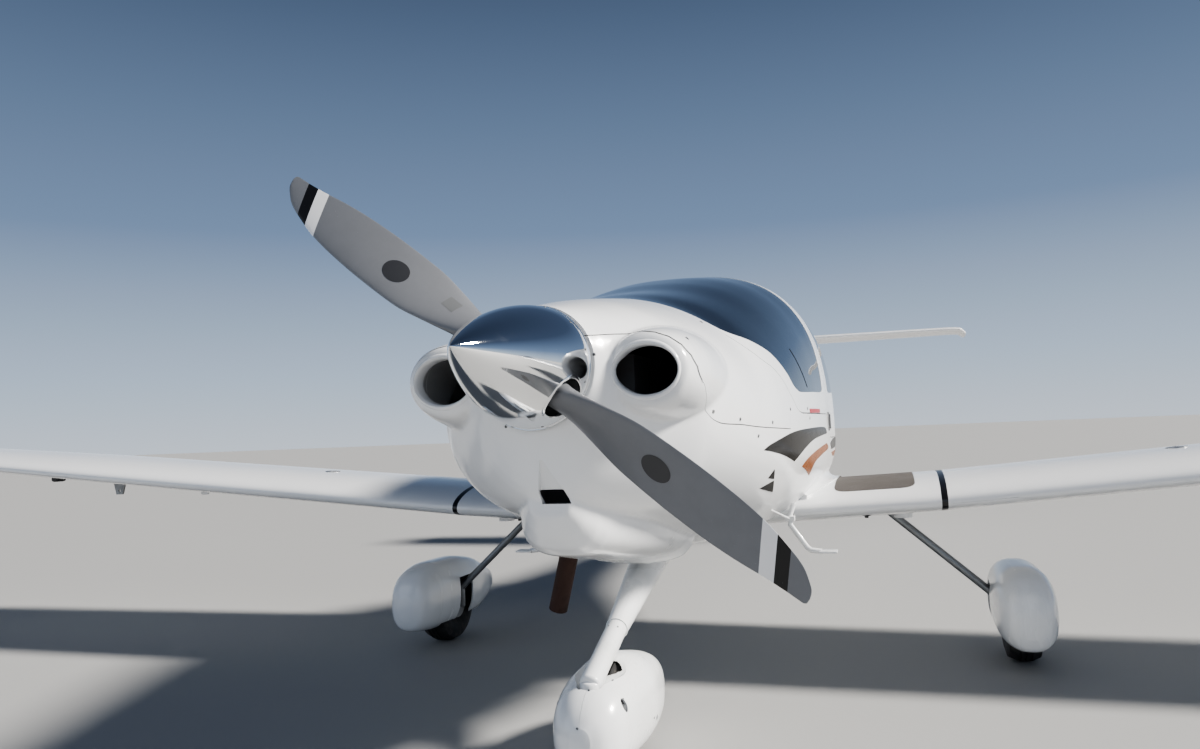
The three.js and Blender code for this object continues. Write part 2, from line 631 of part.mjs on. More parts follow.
const SEAT_OUTLINE = [[2130, 690], [2130, 860], [2150, 900], [2520, 850], [2650, 1330], [2690, 1520], [2760, 1530],
  [2770, 1480], [2640, 830], [2600, 690]];
const seat = sidePrism(SEAT_OUTLINE, 70, 510).intersect(lining);
const BENCH_OUTLINE = [[3060, 740], [3060, 980], [3090, 1010], [3430, 960], [3560, 1300], [3600, 1480], [3650, 1480],
  [3640, 1400], [3520, 920], [3500, 740]];
const bench = sidePrism(BENCH_OUTLINE, -470, 470).intersect(lining);
const STICK_X = 270;
const pedestal = boxSolid([-62, station(1780), 669], [62, station(2420), 850])
  .add(rodSolid(new THREE.Vector3(-STICK_X, station(2030), 716), new THREE.Vector3(STICK_X, station(2030), 716), 14, 14, 12));
const stick = (x) => bentRod([new THREE.Vector3(x, station(2030), 705), new THREE.Vector3(x, station(2030), 980),
  new THREE.Vector3(x, station(2080), 1120)], 15, 8);
addPiece('seat_port', seat, SEAT);
addPiece('seat_starboard', mirrorX(seat), SEAT);
addPiece('rear_bench', bench, SEAT);
addPiece('centre_console', unite([pedestal, stick(STICK_X), stick(-STICK_X)]), DARK);

// Cowls

const keel = loftSolid(KEEL_SECTIONS.map((row) => keelRing(row)));
const cowlOuter = unite([hull(COWL_FRONT, FIREWALL), cheek(), mirrorX(cheek()), keel]);
const cowlInner = unite([
  hull(COWL_FRONT + COWL_SKIN, FIREWALL + 5, COWL_SKIN),
  cheek(COWL_SKIN + 18, 600), mirrorX(cheek(COWL_SKIN + 18, 600)),
  loftSolid([...KEEL_SECTIONS.slice(1), { s: 1440, half: 243, spring: 733, bottom: 611 }].map((row) => keelRing(row, COWL_SKIN))),
]);
const inletHole = loftSolid([
  { s: 500, ...INLET },
  { s: 800, ...INLET },
].map((row) => ovalRing(row)));
const shaftAxis = new THREE.Vector3(0, -Math.cos(SHAFT_TILT), Math.sin(SHAFT_TILT));
const spinnerTip = new THREE.Vector3(0, station(0), SPINNER_TIP_Z);
const shaftPoint = (distance) => spinnerTip.clone().addScaledVector(shaftAxis, -distance);
const shaftHole = rodSolid(shaftPoint(430), shaftPoint(620), 66)
  .add(rodSolid(shaftPoint(400), shaftPoint(COWL_FACE), SPINNER_RADIUS + 20, SPINNER_RADIUS + 20, 32));
const chinSlot = loftSolid([[-22, 66], [-22, 66]].map(([left, right], i) => [
  [left, 908], [right, 908], [right - 12, 950], [left, 950],
].map(([x, z]) => new THREE.Vector3(x, station(500 + i * 150), z))));
const EXHAUST_PATH = [[-120, 1150, 830], [-188, 1235, 650], [-246, 1270, 470]].map(
  ([x, s, z]) => new THREE.Vector3(x, station(s), z));
const exhaustHole = bentRod(EXHAUST_PATH, 41, 14);
const cowl = cowlOuter.subtract(cowlInner).subtract(exhaustHole).subtract(inletHole).subtract(mirrorX(inletHole))
  .subtract(shaftHole).subtract(chinSlot).subtract(canopyCut);
const PARTING = [[300, 1336], [560, 1400], [640, 1416], [760, 1376], [820, 1260], [850, 1160], [910, 1130],
  [FIREWALL + 40, 1112], [FIREWALL + 40, 2000], [300, 2000]];
const upperRegion = sidePrism(PARTING, -900, 900);
const upperTrimmed = sidePrism(offsetOutline(PARTING, -GAP), -900, 900);
addPiece('upper_cowl', cowl.intersect(upperTrimmed), PAINT);
addPiece('lower_cowl', cowl.subtract(upperRegion), PAINT);
addPiece('exhaust_pipe', bentRod(EXHAUST_PATH, 34, 14), RUST);

const engine = boxSolid([-230, station(740), 950], [230, station(1300), 1340]);
addPiece('engine_block', engine, ALLOY);

// Propeller

const ogiveRadius = (t) => SPINNER_RADIUS * (1 - (1 - t / SPINNER_LENGTH) ** 1.59) ** 0.896;
const SPINNER_STEPS = 8;
const spinnerOuter = [];
const spinnerInner = [];
for (let i = 0; i <= SPINNER_STEPS; i += 1) {
  const t = SPINNER_LENGTH * (i / SPINNER_STEPS) ** 1.4;
  spinnerOuter.push([Math.max(ogiveRadius(t), 0), -t]);
  if (i % 2 === 0 && i > 0) spinnerInner.push([Math.max(ogiveRadius(t) - 6, 0), -t]);
}
spinnerInner.unshift([0, -20]);
const spinnerProfile = [...spinnerOuter, ...spinnerInner.reverse()];
const hubCentre = shaftPoint(HUB_DISTANCE);
const acrossShaft = new THREE.Vector3(1, 0, 0);
const upShaft = new THREE.Vector3().crossVectors(acrossShaft, shaftAxis).negate();
const bladeAxis = acrossShaft.clone().multiplyScalar(Math.cos(PROP_ANGLE)).addScaledVector(upShaft, Math.sin(PROP_ANGLE));
let spinner = turnedSolid(spinnerProfile, spinnerTip, shaftAxis, 32);
spinner = spinner.subtract(rodSolid(hubCentre.clone().addScaledVector(bladeAxis, -400),
  hubCentre.clone().addScaledVector(bladeAxis, 400), 62, 62, 20));
addPiece('spinner', spinner, CHROME);

const backplate = rodSolid(shaftPoint(SPINNER_LENGTH + GAP), shaftPoint(SPINNER_LENGTH + 8), SPINNER_RADIUS - 3, SPINNER_RADIUS - 3, 32);
const hubBarrel = rodSolid(hubCentre.clone().addScaledVector(bladeAxis, -92), hubCentre.clone().addScaledVector(bladeAxis, 92), 54);
const hub = unite([backplate, hubBarrel, rodSolid(shaftPoint(335), shaftPoint(600), 48)]);
addPiece('propeller_hub', hub, ALLOY);

// Blade rows. r: radius from the shaft, chord, shift: middle of the chord ahead of the pitch axis,
// angle: pitch in degrees, thick: thickness in chords.
const BLADE_ROWS = [
  { r: 92.3, chord: 90, shift: 0, angle: 62, thick: 0.95 },
  { r: 130, chord: 92, shift: 0, angle: 60, thick: 0.85 },
  { r: 190, chord: 118, shift: 3, angle: 52, thick: 0.48 },
  { r: 280, chord: 152, shift: 6, angle: 43, thick: 0.22 },
  { r: 400, chord: 180, shift: 10, angle: 35, thick: 0.13 },
  { r: 540, chord: 175, shift: 12, angle: 28, thick: 0.1 },
  { r: 680, chord: 160, shift: 14, angle: 23, thick: 0.085 },
  { r: 770, chord: 140, shift: 15, angle: 20.5, thick: 0.08 },
  { r: 850, chord: 108, shift: 13, angle: 18.5, thick: 0.08 },
  { r: 905, chord: 84, shift: 8, angle: 17.5, thick: 0.08 },
  { r: 940, chord: 58, shift: -2, angle: 17, thick: 0.09 },
  { r: 960, chord: 36, shift: -11, angle: 17, thick: 0.12 },
  { r: PROP_RADIUS, chord: 14, shift: -17, angle: 17, thick: 0.2 },
];
function blade(direction) {
  const out = bladeAxis.clone().multiplyScalar(direction);
  const chordwise = new THREE.Vector3().crossVectors(shaftAxis, out);
  return loftSolid(BLADE_ROWS.map((row) => {
    const pitch = THREE.MathUtils.degToRad(row.angle);
    const lead = chordwise.clone().multiplyScalar(Math.cos(pitch)).addScaledVector(shaftAxis, Math.sin(pitch));
    const face = chordwise.clone().multiplyScalar(-Math.sin(pitch)).addScaledVector(shaftAxis, Math.cos(pitch));
    const ring = [];
    for (let i = 0; i < 16; i += 1) {
      const angle = (i / 16) * 2 * Math.PI;
      const c = row.shift + Math.cos(angle) * row.chord / 2;
      const h = Math.sin(angle) * row.chord * row.thick / 2;
      ring.push(hubCentre.clone().addScaledVector(out, row.r).addScaledVector(lead, c).addScaledVector(face, h));
    }
    return ring;
  }));
}
addPiece('propeller_blade_port', blade(1), BLADE_GREY);
addPiece('propeller_blade_starboard', blade(-1), BLADE_GREY);

// Nose gear

const casterAxis = legPoint(CASTER_S);
const legFairing = rodSolid(legPoint(1196), legPoint(1700), 39, 74, 24);
const legTube = rodSolid(legPoint(CASTER_S), legPoint(1790), 34, 34, 20);
const casterPoint = (z) => new THREE.Vector3(0, station(CASTER_S), z);
const headTube = rodSolid(casterPoint(264), casterPoint(345), 32, 32, 20);
const headBore = rodSolid(casterPoint(250), casterPoint(336), 15, 15, 16);
addPiece('nose_leg', unite([legFairing, legTube, headTube]).subtract(headBore), PAINT);

const WHEEL_SIDES = 28;
function wheelSet(at, tyreRadius, tyreWidth, rimRadius, boreRadius) {
  const axis = new THREE.Vector3(1, 0, 0);
  const w = tyreWidth / 2;
  const tyreProfile = [
    [rimRadius, -w * 0.62], [tyreRadius * 0.82, -w], [tyreRadius * 0.94, -w * 0.82], [tyreRadius, -w * 0.45],
    [tyreRadius, w * 0.45], [tyreRadius * 0.94, w * 0.82], [tyreRadius * 0.82, w], [rimRadius, w * 0.62], [rimRadius, -w * 0.62],
  ];
  const r = rimRadius - GAP;
  const rimProfile = [
    [boreRadius, -w * 0.6], [r * 0.45, -w * 0.6], [r * 0.6, -w * 0.3], [r * 0.85, -w * 0.35], [r, -w * 0.6],
    [r, w * 0.6], [r * 0.85, w * 0.35], [r * 0.6, w * 0.3], [r * 0.45, w * 0.6], [boreRadius, w * 0.6], [boreRadius, -w * 0.6],
  ];
  // A flat of the many-sided tyre faces the ground, so its flats lie at the tyre's radius.
  const phase = Math.PI / WHEEL_SIDES;
  const grown = tyreProfile.map(([radius, x]) => [radius / Math.cos(phase), x]);
  const rimGrown = rimProfile.map(([radius, x]) => [radius / Math.cos(phase), x]);
  return {
    tyre: turnedSolid(grown, at, axis, WHEEL_SIDES, phase),
    rim: turnedSolid(rimGrown, at, axis, WHEEL_SIDES, phase),
  };
}
const noseWheel = wheelSet(new THREE.Vector3(0, station(NOSE_AXLE.s), NOSE_AXLE.z), NOSE_TYRE_RADIUS, NOSE_TYRE_WIDTH, 82, 12.5);
addPiece('nose_wheel', noseWheel.rim, ALLOY);
addPiece('nose_tyre', noseWheel.tyre, TYRE);

const noseAxlePoint = (x) => new THREE.Vector3(x, station(NOSE_AXLE.s), NOSE_AXLE.z);

// Wheel fairings. s: station, half: half width, top and bottom, all about the wheel's middle plane.
function fairingSolid(rows, x, inset = 0, power = 0.8) {
  return loftSolid(rows.map((row) => {
    const ring = [];
    const points = 20;
    const middle = (row.top + row.bottom) / 2;
    const tall = (row.top - row.bottom) / 2;
    for (let i = 0; i < points; i += 1) {
      const angle = (i / points) * 2 * Math.PI;
      const [c, s] = [Math.cos(angle), Math.sin(angle)];
      ring.push(new THREE.Vector3(
        x + (row.half - inset) * Math.sign(c) * Math.abs(c) ** power,
        station(row.s),
        middle + (tall - inset) * Math.sign(s) * Math.abs(s) ** power));
    }
    return ring;
  }));
}
const NOSE_FAIRING_ROWS = [
  { s: 766, half: 34, top: 214, bottom: 136 },
  { s: 784, half: 73, top: 250, bottom: 94 },
  { s: 850, half: 116, top: 306, bottom: 60 },
  { s: 980, half: 137, top: 345, bottom: 44 },
  { s: 1140, half: 143, top: 352, bottom: 40 },
  { s: 1310, half: 126, top: 322, bottom: 44 },
  { s: 1470, half: 90, top: 278, bottom: 72 },
  { s: 1590, half: 44, top: 224, bottom: 122 },
];
const NOSE_FAIRING_WALL = 8;
const NOSE_FAIRING_POWER = 0.9;
const noseFairingInside = (extra) => fairingSolid(
  NOSE_FAIRING_ROWS.slice(1, 7), 0, NOSE_FAIRING_WALL + extra, NOSE_FAIRING_POWER);
const noseWell = noseFairingInside(0).add(boxSolid([-84, station(900), 0], [84, station(1300), 120]));
const CASTER_SWING = [-30, -15, 0, 15, 30];
const legPath = unite(CASTER_SWING.map((turn) => {
  const swing = THREE.MathUtils.degToRad(turn);
  const far = legPoint(1420).sub(casterAxis).applyAxisAngle(new THREE.Vector3(0, 0, 1), swing).add(casterAxis);
  return rodSolid(legPoint(CASTER_S), far, 44, 44, 14);
}));
const headRoom = rodSolid(casterPoint(262), casterPoint(400), 40, 40, 16);
const towPoint = (x) => new THREE.Vector3(x, station(CASTER_S), TOW_BAR.z);
const towHole = rodSolid(towPoint(-200), towPoint(200), 17, 17, 16);
const noseFairing = fairingSolid(NOSE_FAIRING_ROWS, 0, 0, NOSE_FAIRING_POWER).subtract(noseWell).subtract(legPath)
  .subtract(headRoom).subtract(towHole);
addPiece('nose_fairing', noseFairing, PAINT);

// The nose fork carries the axle, which reaches the fairing's walls.
const FORK_X = 78;
const forkArm = (side) => sidePrism([[868, 228], [912, 228], [1118, 186], [1118, 150], [1082, 150]],
  side * FORK_X - 5, side * FORK_X + 5);
const forkCrown = boxSolid([-FORK_X - 5, station(868), 226], [FORK_X + 5, station(912), 261]);
const casterPin = rodSolid(casterPoint(240), casterPoint(330), 12.5, 12.5, 16);

const noseAxle = rodSolid(noseAxlePoint(-160), noseAxlePoint(160), 12).intersect(noseFairingInside(GAP));
const towBar = rodSolid(towPoint(-TOW_BAR.x), towPoint(TOW_BAR.x), TOW_BAR.radius, TOW_BAR.radius, 16);
addPiece('nose_fork', unite([forkArm(1), forkArm(-1), forkCrown, noseAxle, towBar, casterPin]), BARE_STEEL);

// Main gear

const MAIN_FAIRING_ROWS = [
  { s: 2240, half: 44, top: 316, bottom: 190 },
  { s: 2262, half: 88, top: 380, bottom: 142 },
  { s: 2340, half: 116, top: 434, bottom: 120 },
  { s: 2470, half: 126, top: 458, bottom: 108 },
  { s: 2680, half: 122, top: 456, bottom: 102 },
  { s: 2880, half: 112, top: 430, bottom: 108 },
  { s: 3070, half: 78, top: 366, bottom: 140 },
  { s: 3210, half: 36, top: 304, bottom: 190 },
];
const mainWheel = wheelSet(new THREE.Vector3(MAIN_X, station(MAIN_AXLE.s), MAIN_AXLE.z), MAIN_TYRE_RADIUS, MAIN_TYRE_WIDTH, 98, 16.5);
const strut = rodSolid(STRUT_TOP, STRUT_END, STRUT_RADIUS, STRUT_RADIUS, 16)
  .add(rodSolid(new THREE.Vector3(1368, station(MAIN_AXLE.s), 296), new THREE.Vector3(1368, station(MAIN_AXLE.s), 182), 20, 20, 16));
const mainFairingInside = (extra) => fairingSolid(MAIN_FAIRING_ROWS.slice(1, 7), MAIN_FAIRING_X, 8 + extra);
const AXLE_INNER = 1388.3;
const axlePoint = (x) => new THREE.Vector3(x, station(MAIN_AXLE.s), MAIN_AXLE.z);
const axle = rodSolid(axlePoint(AXLE_INNER), axlePoint(MAIN_X + 160), 15).intersect(mainFairingInside(GAP))
  .add(rodSolid(axlePoint(AXLE_INNER), axlePoint(AXLE_INNER + 9), 88, 88, 28));
const mainWell = unite([
  mainFairingInside(0),
  boxSolid([MAIN_X - 92, station(2460), 0], [MAIN_X + 86, station(2940), 200]),
  boxSolid([MAIN_X - 160, station(2620), 90], [MAIN_X - 60, station(2780), 352]),
]);
const mainFairing = fairingSolid(MAIN_FAIRING_ROWS, MAIN_FAIRING_X).subtract(mainWell);
const stepTube = bentRod([
  new THREE.Vector3(560, station(2030), 760),
  new THREE.Vector3(545, station(2010), 712),
  new THREE.Vector3(601, station(1995), 588),
  new THREE.Vector3(650, station(1995), 582)], 11, 8)
  .add(boxSolid([640, station(1962), 578], [712, station(2028), 587]));
const stepFoot = stepTube.subtract(hull(1800, 2300, -GAP));

const SIDES = [['port', (solid) => solid], ['starboard', mirrorX]];
for (const [side, turn] of SIDES) {
  addPiece(`main_strut_${side}`, turn(strut), BARE_STEEL);
  addPiece(`main_axle_${side}`, turn(axle), BARE_STEEL);
  addPiece(`main_wheel_${side}`, turn(mainWheel.rim), ALLOY);
  addPiece(`main_tyre_${side}`, turn(mainWheel.tyre), TYRE);
  addPiece(`main_fairing_${side}`, turn(mainFairing), PAINT);
  addPiece(`foot_step_${side}`, turn(stepFoot), PAINT);
}

export default aircraft;
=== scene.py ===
"""Looks of a parked four-seat light aircraft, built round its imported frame.

Metres, +X to port, +Y aft, +Z up. Stations are measured aft from the tip of the spinner.
"""
import json
import math

import bmesh
import bpy
import numpy as np
from bpy.props import FloatProperty, FloatVectorProperty, IntProperty, PointerProperty
from mathutils import Matrix, Vector
from mathutils.bvhtree import BVHTree


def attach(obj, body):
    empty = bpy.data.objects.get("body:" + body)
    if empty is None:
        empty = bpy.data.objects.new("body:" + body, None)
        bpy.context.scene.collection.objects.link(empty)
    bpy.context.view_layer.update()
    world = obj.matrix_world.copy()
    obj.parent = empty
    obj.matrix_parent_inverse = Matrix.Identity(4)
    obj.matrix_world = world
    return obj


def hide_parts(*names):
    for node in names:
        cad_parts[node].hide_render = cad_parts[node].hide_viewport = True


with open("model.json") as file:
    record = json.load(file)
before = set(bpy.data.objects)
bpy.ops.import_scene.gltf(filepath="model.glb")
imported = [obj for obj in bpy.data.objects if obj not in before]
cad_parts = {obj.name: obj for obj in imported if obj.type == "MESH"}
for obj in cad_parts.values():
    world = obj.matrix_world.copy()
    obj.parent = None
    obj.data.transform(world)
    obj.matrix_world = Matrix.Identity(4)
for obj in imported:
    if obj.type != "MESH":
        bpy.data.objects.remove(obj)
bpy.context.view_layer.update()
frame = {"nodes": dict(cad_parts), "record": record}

bl_info = {
    "name": "Parked light aircraft",
    "version": (1, 0, 0),
    "blender": (4, 5, 0),
    "location": "View3D > Sidebar > Aircraft",
    "description": "Builds the skins, glazing, cabin, gear and markings of a light aircraft round its frame",
    "category": "Object",
}

HALF_LENGTH = 4.03
SEAM = 0.003
SKIN = 0.028
COWL_SKIN = 0.012
# Gap that keeps the faces of neighbouring pieces apart.
FIT = 0.0003
# Half width that reaches past the fuselage, and a height above it.
WIDE = 0.9
FIREWALL = 1.52
CABIN_END = 6.3
FLOOR = 0.668
SILL = 1.152
FAR = 2.1

# Fuselage sections: station, half width, height of greatest width, top, bottom, exponents above and below.
HULL_ROWS = (
    (0.505, 0.179, 1.297, 1.476, 1.116, 2.0, 2.0),
    (0.540, 0.205, 1.285, 1.482, 1.000, 2.0, 2.0),
    (0.580, 0.245, 1.270, 1.488, 0.925, 2.0, 2.0),
    (0.690, 0.345, 1.235, 1.508, 0.862, 2.0, 2.15),
    (0.820, 0.446, 1.200, 1.532, 0.832, 2.0, 2.3),
    (1.000, 0.502, 1.175, 1.559, 0.790, 2.0, 2.3),
    (1.200, 0.546, 1.145, 1.586, 0.742, 2.0, 2.3),
    (1.400, 0.584, 1.120, 1.628, 0.695, 2.15, 2.25),
    (1.600, 0.610, 1.095, 1.668, 0.650, 2.30, 2.25),
    (1.900, 0.636, 1.070, 1.743, 0.626, 2.45, 2.2),
    (2.250, 0.654, 1.055, 1.817, 0.618, 2.62, 2.3),
    (2.600, 0.664, 1.050, 1.861, 0.614, 2.83, 2.35),
    (2.950, 0.667, 1.050, 1.865, 0.618, 2.80, 2.35),
    (3.250, 0.652, 1.058, 1.834, 0.634, 2.70, 2.3),
    (3.600, 0.596, 1.078, 1.758, 0.672, 2.6, 2.2),
    (3.950, 0.500, 1.104, 1.640, 0.728, 2.35, 2.1),
    (4.300, 0.388, 1.128, 1.510, 0.792, 2.15, 2.0),
    (4.700, 0.282, 1.145, 1.405, 0.856, 2.0, 2.0),
    (5.200, 0.214, 1.155, 1.342, 0.914, 2.0, 2.0),
    (6.000, 0.160, 1.165, 1.300, 0.980, 2.0, 2.0),
    (6.900, 0.108, 1.170, 1.272, 1.040, 2.0, 2.0),
    (7.400, 0.062, 1.170, 1.250, 1.080, 2.0, 2.0),
)
# Nose cheeks: station, x and z of the middle, half width, half height.
CHEEK_ROWS = (
    (0.556, 0.314, 1.278, 0.100, 0.084),
    (0.566, 0.314, 1.278, 0.117, 0.101),
    (0.600, 0.314, 1.277, 0.131, 0.117),
    (0.680, 0.312, 1.274, 0.148, 0.136),
    (0.820, 0.300, 1.265, 0.172, 0.160),
    (1.050, 0.270, 1.240, 0.205, 0.195),
    (1.300, 0.240, 1.200, 0.220, 0.210),
)
# Keel of the lower cowl: station, half width, height where the round bottom starts, bottom.
KEEL_ROWS = (
    (0.590, 0.062, 0.910, 0.868),
    (0.640, 0.100, 0.890, 0.800),
    (0.700, 0.135, 0.870, 0.748),
    (0.820, 0.180, 0.850, 0.722),
    (1.000, 0.206, 0.810, 0.690),
    (1.250, 0.228, 0.768, 0.656),
    (1.365, 0.238, 0.742, 0.648),
    (1.395, 0.241, 0.738, 0.616),
    (1.440, 0.243, 0.733, 0.611),
)
KEEL_TOP = 0.96
KEEL_END = 1.42
INLET = (0.314, 1.278)
INLET_HALF = (0.090, 0.0685)
LIP_HALF = (0.103, 0.088)

# Side-view partings, as station and height.
CANOPY_FRONT = ((1.130, FAR), (1.130, 1.580), (1.150, 1.520), (1.215, 1.439), (1.353, 1.351), (1.443, 1.318),
                (1.513, 1.277), (1.560, 1.236), (1.620, 1.193), (1.680, 1.163), (1.760, SILL))
CANOPY_HINGE = (1.030, 1.530)
CANOPY_REACH = 1.550
GLASS_EDGE = ((1.165, FAR), (1.165, 1.590), (1.185, 1.520), (1.240, 1.452), (1.380, 1.420), (1.500, 1.386),
              (1.571, 1.344), (1.628, 1.300), (1.668, 1.264), (1.728, 1.244), (1.800, 1.238), (2.100, 1.246),
              (2.390, 1.256), (2.440, 1.290), (2.475, 1.420), (2.490, 1.560), (2.470, 1.760), (2.440, FAR))
DOOR_EDGE = ((2.640, FAR), (2.640, 1.090), (2.700, 1.040), (3.230, 1.060), (3.420, 1.190),
             (3.560, 1.450), (3.530, FAR))
REAR_GLASS_EDGE = ((2.700, FAR), (2.700, 1.300), (2.740, 1.262), (3.240, 1.290), (3.370, 1.370),
                   (3.470, 1.520), (3.400, FAR))
DOOR_HINGE_X = 0.1
# Glass: its depths below the surface, its gap in its opening, and where the door's starts past the hinge.
GLASS_DEPTHS = (0.001, 0.009)
GLASS_GAP = 0.0004
GLASS_TOP_X = 0.06
# The lower cowl reaches up round the inlets: first in front view, as x and height, then in side view.
COWL_BROW = ((0.0, 1.374), (0.150, 1.379), (0.219, 1.388), (0.262, 1.391), (0.300, 1.390), (0.340, 1.383),
             (0.380, 1.368), (0.413, 1.344), (0.436, 1.314), (0.448, 1.283), (0.452, 1.240))
COWL_BROW_END = 0.66
COWL_PARTING = ((0.650, 1.240), (0.672, 1.238), (0.700, 1.222), (0.740, 1.197), (0.780, 1.172),
                (0.815, 1.142), (0.850, 1.127), (0.900, 1.120), (1.010, 1.116), (1.170, 1.106),
                (1.400, 1.098), (1.560, 1.094))

# Wing: x, leading edge station, chord, leading edge height, thickness in chords, lean of the section.
JOINT_X = 1.137
LE_Z = 0.757
RISE = math.tan(math.radians(5))
WING_ROWS = (
    (JOINT_X, 2.224, 1.235, LE_Z, 0.122, 0.0),
    (3.900, 2.272, 1.140, LE_Z + (3.900 - JOINT_X) * RISE, 0.115, 0.0),
    (5.560, 2.350, 0.880, LE_Z + (5.560 - JOINT_X) * RISE, 0.112, 0.0),
    (5.760, 2.395, 0.795, 1.168, 0.110, 0.35),
    (5.880, 2.470, 0.670, 1.214, 0.100, 0.80),
    (5.940, 2.600, 0.500, 1.330, 0.100, 1.25),
    (5.966, 2.760, 0.320, 1.490, 0.090, 1.40),
)
STUB_ROOT = (0.380, 2.200, 1.290, 0.712, 0.128, 0.0)
CAMBER = 0.028
FLAP = (1.165, 3.600, 0.765)
AILERON = (3.640, 5.420, 0.810)
BRACKET_X = (1.500, 2.400, 3.300, 3.950, 4.900)
# Tie-down lug, and the tapered plate outboard of it: half widths at the skin and at the tip.
LUG = {"x": 3.060, "part": 0.34, "wide": 0.050, "deep": 0.130, "thick": 0.012}
PLATE = {"x": 3.700, "part": 0.32, "deep": 0.172, "root": 0.060, "tip": 0.024, "thick": 0.012}

# Tail: x, leading edge station, chord, height.
TAIL_ROWS = ((0.0, 7.110, 0.780, 1.953), (1.500, 7.190, 0.640, 1.953), (1.610, 7.215, 0.590, 1.947),
             (1.660, 7.270, 0.500, 1.913))
# Bullet on top of the fin: station, half width, height.
BULLET_ROWS = ((7.08, 0.012, 0.014), (7.15, 0.034, 0.046), (7.4, 0.042, 0.070), (7.596, 0.036, 0.066),
               (7.626, 0.032, 0.060))
ELEVATOR_HALF = 1.5
ELEVATOR_HINGE = (7.660, 1.953)
FIN_TOP = 1.908
# Fin: height, leading edge station, trailing edge station, half thickness.
FIN_ROWS = ((1.040, 6.420, 8.064, 0.052), (1.270, 6.440, 8.030, 0.052), (1.400, 6.700, 8.012, 0.048),
            (1.620, 6.930, 7.976, 0.042), (FIN_TOP, 7.140, 7.930, 0.036))
RUDDER_HINGE = ((7.520, 1.066), (7.622, 1.850))

# Propeller
SHAFT_TILT = math.radians(2.6)
SPINNER_TIP_Z = 1.321
SPINNER_LENGTH = 0.497
SPINNER_RADIUS = 0.175
# Rolled bead at the rear edge of the spinner: radius, and distance ahead of the tip.
SPINNER_BEAD = ((0.1735, -0.490), (0.1768, -0.490), (0.1776, -0.4935), (0.1768, -0.4968),
                (0.1735, -0.4968))
# Rim of a blade's opening: distance from the blade's axis, and height above the spinner.
COLLAR = ((0.0625, -0.006), (0.0625, 0.0012), (0.0642, 0.0026), (0.0682, 0.0026), (0.0708, 0.0006),
          (0.0708, -0.006))
HUB_DISTANCE = 0.410
PROP_ANGLE = math.radians(-39)
# Blade: radius, chord, middle of the chord ahead of the pitch axis, pitch in degrees, thickness in chords.
BLADE_ROWS = (
    (0.0923, 0.090, 0.000, 62.0, 0.95),
    (0.130, 0.092, 0.000, 60.0, 0.85),
    (0.190, 0.118, 0.003, 52.0, 0.48),
    (0.280, 0.152, 0.006, 43.0, 0.22),
    (0.400, 0.180, 0.010, 35.0, 0.13),
    (0.540, 0.175, 0.012, 28.0, 0.10),
    (0.680, 0.160, 0.014, 23.0, 0.085),
    (0.770, 0.140, 0.015, 20.5, 0.08),
    (0.850, 0.108, 0.013, 18.5, 0.08),
    (0.905, 0.084, 0.008, 17.5, 0.08),
    (0.940, 0.058, -0.002, 17.0, 0.09),
    (0.960, 0.036, -0.011, 17.0, 0.12),
    (0.966, 0.014, -0.017, 17.0, 0.20),
)

# Gear
NOSE_AXLE = (1.100, 0.168)
NOSE_TYRE = {"radius": 0.168, "width": 0.126, "rim": 0.082, "bore": 0.0125}
MAIN_AXLE = (2.700, 0.210)
MAIN_TYRE = {"radius": 0.210, "width": 0.150, "rim": 0.098, "bore": 0.0165}
MAIN_X = 1.460
MAIN_FAIRING_X = 1.453
CASTER_S = 0.890
LEG_SLOPE = 0.362
LEG_NOSE = 0.012
# Wheel fairings: station, half width, top, bottom.
NOSE_FAIRING_ROWS = ((0.766, 0.034, 0.214, 0.136), (0.784, 0.073, 0.250, 0.094), (0.850, 0.116, 0.306, 0.060),
                     (0.980, 0.137, 0.345, 0.044), (1.140, 0.143, 0.352, 0.040), (1.310, 0.126, 0.322, 0.044),
                     (1.470, 0.090, 0.278, 0.072), (1.590, 0.044, 0.224, 0.122))
MAIN_FAIRING_ROWS = ((2.240, 0.044, 0.316, 0.190), (2.262, 0.088, 0.380, 0.142), (2.340, 0.116, 0.434, 0.120),
                     (2.470, 0.126, 0.458, 0.108), (2.680, 0.122, 0.456, 0.102), (2.880, 0.112, 0.430, 0.108),
                     (3.070, 0.078, 0.366, 0.140), (3.210, 0.036, 0.304, 0.190))
FAIRING_WALL = 0.008
# Slots through the nose fairing: x, station, height, half width, half height.
FAIRING_SLOTS = ((0.130, 0.883, 0.266, 0.012, 0.0225), (0.143, 1.165, 0.132, 0.012, 0.013),
                 (0.140, 1.172, 0.071, 0.012, 0.018))
# Exponents of a fairing's section, above and below its middle.
NOSE_FAIRING_BULGES = (0.9, 0.68)
MAIN_FAIRING_BULGES = (0.8, 0.8)
FAIRING_SPLIT = 0.0009
# Tube of the port foot step: x, station, height.
STEP_LINE = ((0.540, 2.03, 0.775), (0.522, 2.014, 0.724), (0.526, 2.006, 0.69), (0.590, 1.997, 0.6),
             (0.606, 1.995, 0.588), (0.65, 1.995, 0.5825))

# Cabin, as stations and heights.
PANEL_OUTLINE = ((1.260, 1.410), (1.250, 1.478), (1.420, 1.522), (1.740, 1.470), (1.775, 1.442),
                 (1.745, 1.010), (1.725, 1.010), (1.725, 1.380), (1.565, 1.380), (1.565, 1.172),
                 (1.489, 1.2065))
